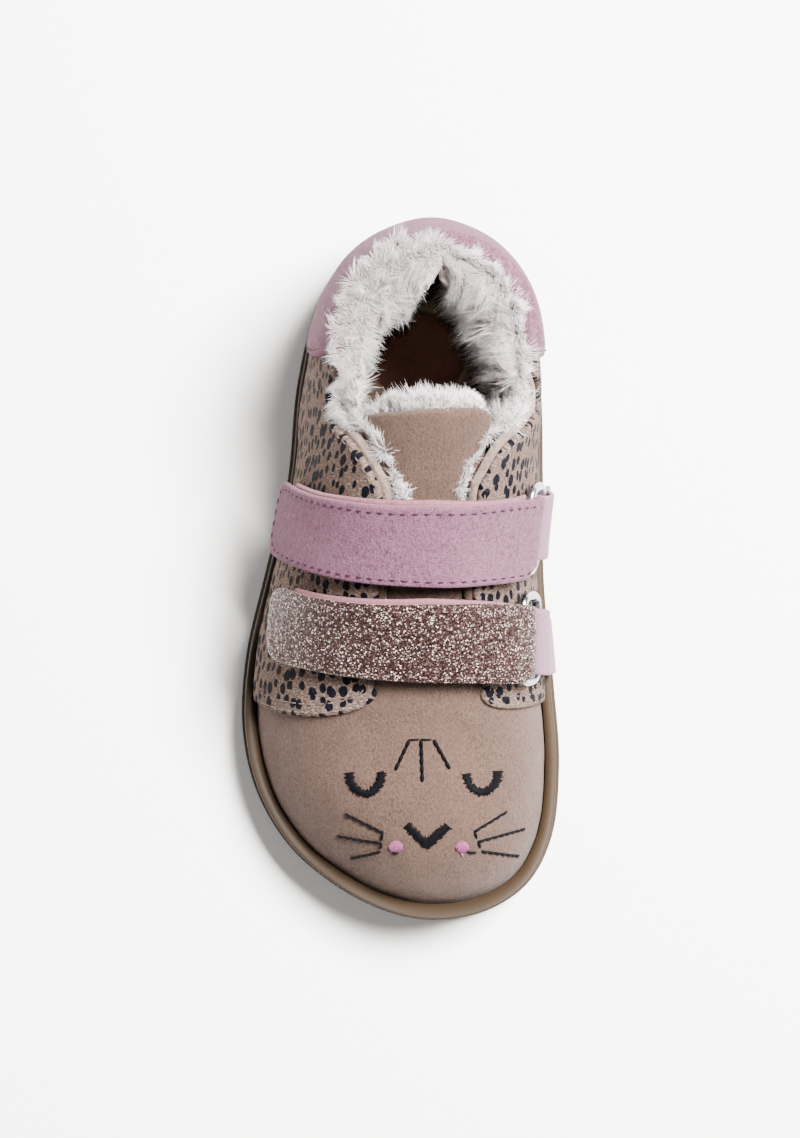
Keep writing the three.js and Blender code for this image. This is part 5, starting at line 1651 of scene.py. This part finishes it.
def tufts(points, seed, broad=6.0, fine=2.2):
    """Leans that neighbouring hairs share, in broad and fine tufts."""
    return noise_field(points, broad, seed) * 0.45 + noise_field(points, fine, seed + 50) * 0.5


UP = np.array([0, 0, 1.0])
PILE_ROWS = table("drop depth", [
    (0.05, 0.02), (-0.06, 0.12), (-0.11, 0.4), (-0.04, 0.74), (0.14, 0.92), (0.42, 0.9), (0.7, 0.72),
    (0.92, 0.4),
])


OVER_SHARE, OVER_BY_SPILL = 0.14, 0.13  # share of hairs over the edge, and what a spill of 1 adds
OVER_OUT = (-0.1, 0.24)  # where those hairs stand, as shares of the pile's depth out from the edge


def collar_hair(first, last):
    """Hair of the collar between two columns. Some stands over the edge and spills onto the band."""
    count = COLLAR_HAIR["count"]
    c = random.uniform(first, last, count)
    at = random.uniform(0, 1, count) ** 1.2 * (len(PILE_ROWS["drop"]) - 1)
    steps = np.arange(len(PILE_ROWS["drop"]))
    drop, depth = (np.interp(at, steps, PILE_ROWS[name]) for name in ("drop", "depth"))
    spilled, reach = lie(c, "spill"), lie(c, "reach")
    over = random.uniform(0, 1, count) < OVER_SHARE + OVER_BY_SPILL * spilled
    out = random.uniform(*OVER_OUT, count) * spilled
    depth = np.where(over, -out, depth * np.minimum(reach, 1.0) * 0.84)
    drop = np.where(over, -0.06 + 0.2 * out**2, drop)
    at = np.where(over, 0, at)
    root, normal = pile_place(c, drop, depth)
    down = unit(pile_place(c, drop + 0.2, depth)[0] - root)
    round_way = unit(pile_place(c + 0.5, drop, depth)[0] - pile_place(c - 0.5, drop, depth)[0])
    top = np.clip(1 - at / 3.2, 0, 1)[:, None]
    outward = normal * [1, 1, 0]
    aim = -normal * 0.8 * reach[:, None] * (1 - top) + down * 0.75 * (1 - top) + UP * 0.5 * top
    side = np.where(over, random.uniform(0.0, 1.1, count), random.uniform(-0.7, 0.6, count))
    aim += outward * top * (side * np.minimum(spilled, 1))[:, None]
    away = (c - PILE_START) / (PILE_END - PILE_START) - PARTING
    part = np.sign(away) * np.exp(-(away / PARTING_REACH) ** 2) * PARTING_LEAN
    aim += round_way * (part * (at > 1.0))[:, None]
    tufting = tufts(root, 31, 8.0, 2.8) * np.where(over, 0.22, 0.5)[:, None]
    aim = unit(aim + tufting + random.normal(0, COLLAR_HAIR["scatter"], (count, 3)))
    length = random.uniform(*COLLAR_HAIR["length"], count) * (1 - 0.35 * top[:, 0])
    length = length * np.where(over, 0.65, 1) * reach**0.5
    bend = -UP * random.uniform(0.3, 2.2, (count, 1)) * (0.35 + top) + noise_field(root, 4.2, 33) * 1.7
    bend += noise_field(root, 1.6, 34) * 0.35
    return strands(root, aim, length, bend, random.uniform(*COLLAR_HAIR["radius"], count), LONG_HAIR)


def add_hair(name, points, tris, shade):
    """A piece of hair in the pile's finish."""
    hair = make_mesh(name, points, tris, [PILE], shade=shade)


cuts = np.linspace(PILE_START, PILE_END, 4)
for part, first, last in zip(("inner", "heel", "outer"), cuts[:-1], cuts[1:]):
    add_hair(f"collar_pile_{part}", *collar_hair(first, last))


PAD_EDGE = 1.5
PAD_TOP = TONGUE_UNDER - CLEARANCE
tongue_pile = panel("tongue_pile_ground",
                    least(tongue_field(TONGUE_FUR_TOP), surface_distance(TONGUE_FUR_END * LENGTH - S)),
                    PAD_TOP - TONGUE_FUR,
                    lambda rows: PAD_TOP + TONGUE_FUR * (edge_profile(rows[:, REGION], PAD_EDGE) - 1),
                    PAD_EDGE, [PILE])
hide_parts("tongue_fur")


def fringe_hair():
    """Short hair that stands out past the tongue's top edge."""
    count = FRINGE_HAIR["count"]
    axis, half = TONGUE_AXIS * BALL_WIDTH, TONGUE["half"][1] * BALL_WIDTH
    x = axis + half * random.uniform(-1, 1, count)
    corner = ((x - axis) / half) ** 6
    s = LENGTH * (TONGUE_FUR_TOP + 0.003 + 0.02 * corner) + random.uniform(0, 3.0, count)
    depth = TONGUE_UNDER - random.uniform(0.2, TONGUE_FUR, count)
    root, normal = drop_on(x, s, depth)
    lean = np.array([0, -0.7, 0.55]) + normal * 0.2
    aim = unit(lean + tufts(root, 41) * 0.6 + random.normal(0, FRINGE_HAIR["scatter"], (count, 3)))
    length = random.uniform(*FRINGE_HAIR["length"], count) * (1 - 0.35 * np.clip((x - axis) / half, 0, 1))
    bend = noise_field(root, 2.4, 42) * 0.6
    return strands(root, aim, length, bend, random.uniform(*FRINGE_HAIR["radius"], count))


def throat_hair():
    """Lining pile that spills out in uneven tufts between the throat's edges and the tongue."""
    count = THROAT_HAIR["count"]
    sign = np.where(random.uniform(0, 1, count) < 0.6, -1.0, 1.0)
    along = 0.25 + 0.185 * random.uniform(0, 1, count) ** 1.1
    s = along * LENGTH
    edge = np.where(sign < 0, read(THROAT, "outer", along), read(THROAT, "inner", along)) * BALL_WIDTH
    fullness = 0.62 + 0.38 * np.sin(s * 0.9 + sign * 1.3 + 0.6) * np.sin(s * 0.37 + 1.0)
    x = edge - sign * (0.9 + random.uniform(0, 1.7, count) * fullness * np.where(sign < 0, 1.0, 0.6))
    root, normal = drop_on(x, s, -random.uniform(0.5, 1.5, count))
    aside = -sign * random.uniform(-0.35, 1.0, count)
    lean = normal * 0.5 + np.stack([aside, np.full(count, -0.5), np.zeros(count)], axis=1)
    scatter = random.normal(0, THROAT_HAIR["scatter"], (count, 3))
    aim = unit(lean + tufts(root, 45, 4.0, 1.8) * 0.55 + scatter)
    length = random.uniform(*THROAT_HAIR["length"], count) * (0.45 + 0.8 * fullness)
    length = length * np.where(sign < 0, 1.0, 0.75)
    bend = noise_field(root, 2.4, 46) * 0.7 - normal * random.uniform(0, 0.9, (count, 1))
    return strands(root, aim, length, bend, random.uniform(*THROAT_HAIR["radius"], count))


add_hair("tongue_pile_fringe", *fringe_hair())
add_hair("tongue_pile_sides", *throat_hair())

# Needlework on the vamp: a sleeping animal's face


def on_vamp(plan, rise):
    """Places on the vamp's leather under places seen from above, and their normals."""
    base, normal = drop_on(plan[:, 0], plan[:, 1], np.zeros(len(plan)))
    return base + normal * (WALL + relief(base) + rise)[:, None], normal


STEP_ALONG = 0.25  # about the distance between points along a stitched line
LINE_RISE = 0.05
STITCH = 1.8


def thread_line(corners, radius, stitch=STITCH):
    """Backstitch along a straight line from above."""
    corners = np.array(corners, float)
    count = max(int(steps_of(corners).sum() / STEP_ALONG), 3)
    line, normal = on_vamp(spread_evenly(corners, count), LINE_RISE)
    longest = (count - 1) * 0.96 * STEP_ALONG
    return stitch_tubes(line, normal, min(stitch, longest), 0.0, radius, sink=0.0, taper=0.75)


SATIN_PACE, SATIN_RADIUS, SATIN_RISE = 0.19, 0.15, 0.34
SATIN_JAG = 0.3
SATIN_SLANT = 0.12
DISC_PACE, DISC_RADIUS, DISC_RISE = 0.27, 0.16, 0.42
SATIN_SINK = 0.06


def satin_threads(plan, radius, height):
    """Raised threads over places from above, five to a thread."""
    share = np.linspace(0, 1, THREAD_STEPS)
    arch = np.sin(math.pi * share)
    rise = height * arch**0.6 - SATIN_SINK
    points, normals = (part.reshape(-1, THREAD_STEPS, 3) for part in
                       on_vamp(plan.reshape(-1, 2), np.tile(rise, len(plan))))
    return tubes(points, radius * (0.6 + 0.4 * arch), 5, normals)


def satin(path, width, pace):
    """Close parallel threads across a line from above."""
    path = np.array(path, float)
    line = spread_evenly(path, int(steps_of(path).sum() / pace))
    ahead = unit(np.gradient(line, axis=0))
    side = np.stack([-ahead[:, 1], ahead[:, 0]], axis=1)
    ends = [line + side * sign * (width / 2 + random.uniform(-SATIN_JAG, SATIN_JAG, (len(line), 1)))
            for sign in (-1, 1)]
    slant = ahead * random.uniform(-SATIN_SLANT, SATIN_SLANT, (len(line), 1))
    share = np.linspace(0, 1, THREAD_STEPS)[None, :, None]
    plan = mix((ends[0] - slant)[:, None], (ends[1] + slant)[:, None], share)
    return satin_threads(plan, SATIN_RADIUS, SATIN_RISE)


def disc(x, s, radius):
    """Satin disc."""
    across = np.arange(-radius + DISC_PACE / 2, radius, DISC_PACE)
    reach = np.sqrt(radius**2 - across**2) + random.uniform(-0.05, 0.1, len(across))
    share = np.linspace(0, 1, THREAD_STEPS)
    plan = np.stack([x + across[:, None] + 0 * share, s + reach[:, None] * (2 * share - 1)], axis=-1)
    return satin_threads(plan, DISC_RADIUS, DISC_RISE)


# Places across the shoe and along it from the heel, in millimetres
BROW = ((1.7, 112.2), (4.2, 112.1)), ((4.2, 112.1), (6.9, 112.2))
BROW_RAYS = [((1.8, 112.2), (-1.3, 119.3)), ((4.2, 112.2), (4.5, 122.4)), ((6.8, 112.2), (10.3, 119.2))]
EYES = [[(-10.6, 119.6), (-10.2, 121.8), (-8.9, 123.4), (-7.2, 123.9), (-5.6, 123.3), (-4.4, 121.7),
         (-4.0, 119.5)],
        [(13.4, 119.8), (13.8, 121.8), (14.9, 123.3), (16.5, 123.9), (18.3, 123.3), (19.5, 121.6),
         (19.8, 119.5)]]
EYE_TICKS = [((-4.6, 119.7), (-3.2, 119.0)), ((13.9, 120.2), (12.6, 119.8))]
NOSE = [((1.2, 130.6), (5.4, 134.7)), ((5.2, 134.9), (9.7, 130.7))]
CHEEKS = [(-0.8, 135.2), (12.6, 135.3)]
CHEEK_MARKS = [((-1.5, 136.1), (-0.1, 136.7)), ((11.5, 134.9), (11.6, 136.2))]
CHEEK_TAIL = ((12.5, 136.4), (12.9, 137.7))
WHISKERS = [((-3.6, 131.95), (-11.7, 128.0)), ((-3.8, 134.2), (-14.3, 133.0)),
            ((-4.0, 136.1), (-10.9, 138.1)), ((15.0, 132.0), (21.9, 128.0)),
            ((15.8, 134.1), (26.1, 132.2)), ((16.6, 136.2), (24.7, 138.0))]
WHISKER_LINKS = [((-3.6, 131.95), (-3.8, 134.2)), ((-3.8, 134.2), (-4.0, 136.1)),
                 ((15.0, 132.0), (15.8, 134.1)), ((15.8, 134.1), (16.6, 136.2)),
                 ((13.6, 136.2), (16.8, 136.6))]

EYE_STEPS = 30
CHEEK_RADIUS = 1.35
SHORT_STITCH = 1.2
CHEEK_THREAD = 0.26
# How each line is sewn, and its sizes: radius and stitch of a thread line, or width and pace of satin
DARK_LINES = (
    (thread_line, BROW, (0.22, 2.4)),
    (thread_line, BROW_RAYS, (0.38, STITCH)),
    (satin, [smooth_line(eye, EYE_STEPS) for eye in EYES], (1.9, SATIN_PACE)),
    (thread_line, EYE_TICKS, (0.24, SHORT_STITCH)),
    (satin, NOSE, (1.95, 0.18)),
    (thread_line, WHISKERS, (0.34, STITCH)),
    (thread_line, WHISKER_LINKS, (0.3, 2.2)),
    (thread_line, CHEEK_MARKS, (0.3, SHORT_STITCH)),
)

dark = [sew(line, *sizes) for sew, lines, sizes in DARK_LINES for line in lines]
needlework = make_mesh("needlework_dark", *join(dark), [THREAD_DARK])
rose = [disc(x, s, CHEEK_RADIUS) for x, s in CHEEKS] + [thread_line(CHEEK_TAIL, CHEEK_THREAD, SHORT_STITCH)]
cheeks = make_mesh("needlework_cheeks", *join(rose), [THREAD_ROSE])

# Seams


def skin_lines(field, level, keep, depth):
    """Lines over the skin along a level of a field, where keep is positive, with their normals."""
    rows = np.column_stack([SKIN, SKIN_NORMALS, field, keep])
    made = []
    for line in level_lines(field, level, rows):
        good = line[:, 7] > 0
        starts = np.flatnonzero(np.diff(np.concatenate([[0], good.astype(int), [0]])))
        for a, b in zip(starts[::2], starts[1::2]):
            if b - a > 4:
                part = line[a:b]
                normal = unit(part[:, 3:6])
                made.append((part[:, :3] + normal * (depth + relief(part[:, :3]))[:, None], normal))
    return made


SEAM_STITCH, SEAM_GAP = 1.9, 0.7
STRAP_STITCH, STRAP_GAP, STRAP_SINK = 1.6, 0.9, 0.1
QUARTER_THREAD, HEEL_THREAD = 0.16, 0.17
THREAD_BED = 0.08  # how far a seam's thread lies in the leather
QUARTER_TOP_SEAM = 1.1  # how far the seam along the throat lies inside the quarter's edge
# How far the seams end short of the throat's edge, the sole, a quarter's front edge and the top edge
THROAT_MARGIN, RIM_MARGIN, FRONT_MARGIN, TOP_MARGIN = 1.2, 1.0, 1.5, 0.5
FRONT_SEAM_START, TOP_SEAM_START = 0.5, 0.225  # shares of LENGTH


def sewn(name, lines, radius, finish, length=SEAM_STITCH, gap=SEAM_GAP, sink=SINK):
    """A row of stitches along each line, as one piece."""
    parts = [stitch_tubes(line, normal, length, gap, radius, sink) for line, normal in lines]
    parts = [part for part in parts if len(part[0])]
    piece = make_mesh(name, *join(parts), [finish])


def past(share):
    """Positive where the station is past a share of the length."""
    return np.where(S > share * LENGTH, 1.0, -1.0)


for side_name, front in FRONTS.items():
    keep = least(QUARTER_MOUTH - LINING_EDGE - THROAT_MARGIN, ABOVE_RIM - RIM_MARGIN, past(FRONT_SEAM_START))
    depth = QUARTER_OUT - THREAD_BED
    seams = [line for inset in QUARTER_SEAMS for line in skin_lines(front, inset, keep, depth)]
    near = least(front - FRONT_MARGIN, ABOVE_RIM, past(TOP_SEAM_START))
    seams += skin_lines(QUARTER_MOUTH, LINING_EDGE + QUARTER_TOP_SEAM, near, depth)
    sewn(f"quarter_{side_name}_stitches", seams, QUARTER_THREAD, THREAD_PALE)

HEEL_THREAD_BED = 0.1
heel_keep = least(BELOW_TOP - TOP_MARGIN, ABOVE_RIM - RIM_MARGIN)
heel_seams = skin_lines(HEEL_FRONT, HEEL_SEAM, heel_keep, HEEL_OUT - HEEL_THREAD_BED)
sewn("heel_piece_stitches", heel_seams, HEEL_THREAD, THREAD_PINK)

STRAP_SEAM = 1.3  # how far a strap's stitches lie from its edge
STRAP_THREAD_BED = 0.06
SEAM_START = 1.5  # how far from the loop's bar the stitches start


def strap_stitches(name, finish, radius):
    """Stitches along a strap's two sides and round its tip."""
    course, back = STRAPS_MADE[name]
    corner = TIP_CORNER * course.per_mm_outer
    shares = np.linspace(1, -1, 40)
    tip = STRAP_SEAM * course.per_mm_outer - course.spec["tip"]
    way_tip = tip + corner * (1 - np.sqrt(np.maximum(1 - shares**4, 0)))
    side = np.linspace(course.spec["bar"] - SEAM_START * course.per_mm, tip + corner, 150)
    round_tip = way_tip < tip + corner
    way = np.concatenate([side, way_tip[round_tip], side[::-1]])
    share = np.concatenate([np.ones(len(side)), shares[round_tip], -np.ones(len(side))])
    wider, drift = course.spread(way)
    across = share * (course.half(way) * wider - STRAP_SEAM)
    depth = np.interp(-way, -back[:, 0], back[:, 1]) + STRAP_THICKNESS / 2 - STRAP_THREAD_BED
    line = on_skin(course.middle(way) + drift + across, way, depth)
    sewn(f"strap_{name}_stitches", [line], radius, finish,
         STRAP_STITCH, STRAP_GAP, STRAP_SINK)


strap_stitches("upper", THREAD_PINK, 0.2)
strap_stitches("lower", THREAD_BLUSH, 0.12)

# Floor, light and camera


FLOOR_SIZE = 6
FLOOR_DROP = 0.0002
AIM = (0, 0, 0.03)


def add_floor():
    """White paper under the shoe."""
    bpy.ops.mesh.primitive_plane_add(size=FLOOR_SIZE, location=(0, 0, -FLOOR_DROP))
    floor = bpy.context.object
    floor.name = "floor"
    made = Finish("floor_paper", (0.98, 0.95, 0.915), 0.9, Specular_IOR_Level=0.1)
    floor.data.materials.append(made.material)


def add_light(name, place, power, size):
    """A soft square lamp that faces the shoe."""
    light = bpy.data.lights.new(name, "AREA")
    light.energy = power
    light.size = size
    lamp = bpy.data.objects.new(name, light)
    lamp.location = place
    lamp.rotation_euler = (Vector(AIM) - Vector(place)).to_track_quat("-Z", "Y").to_euler()
    bpy.context.collection.objects.link(lamp)


BEAM_POWER = 16.0
BEAM_HEIGHT = 0.55
BEAM_RADIUS = 0.0125
BEAM_BLEND = 0.6
BEAM_SOFTNESS = 0.004
BEAM_DRIFT = 1.5  # how far the beam stands to the inner side of the shaded patch's middle, in millimetres


def add_beam():
    """A narrow beam from above into the opening, so that the footbed can be seen."""
    light = bpy.data.lights.new("beam", "SPOT")
    light.energy = BEAM_POWER
    light.spot_size = 2 * math.atan(BEAM_RADIUS / BEAM_HEIGHT)
    light.spot_blend = BEAM_BLEND
    light.shadow_soft_size = BEAM_SOFTNESS
    lamp = bpy.data.objects.new("beam", light)
    lamp.location = ((HEEL_SHADE_PATCH[0] + BEAM_DRIFT) / MM, HEEL_SHADE_PATCH[1] / MM, BEAM_HEIGHT)
    bpy.context.collection.objects.link(lamp)


def add_world():
    """Faint cool light from all round."""
    world = bpy.data.worlds.new("studio")
    world.use_nodes = True
    background = world.node_tree.nodes["Background"]
    background.inputs["Color"].default_value = (0.96, 0.97, 1.0, 1)
    background.inputs["Strength"].default_value = 0.3
    bpy.context.scene.world = world


SENSOR = 36
LENS = 113.9
CAMERA_PLACE = (-0.00011, 0.00039, 0.8)


def add_camera():
    """The photo is taken from straight above, with the toe down."""
    camera = bpy.data.cameras.new("photo")
    camera.sensor_fit = "VERTICAL"
    camera.sensor_height = camera.sensor_width = SENSOR
    camera.lens = LENS
    holder = bpy.data.objects.new("photo", camera)
    holder.location = CAMERA_PLACE
    bpy.context.collection.objects.link(holder)
    bpy.context.scene.camera = holder


add_floor()
add_light("key", (0.41, 0.31, 0.85), 102.0, 0.38)
add_light("fill", (-0.7, -0.2, 0.9), 3.0, 1.2)
add_beam()
add_world()
add_camera()
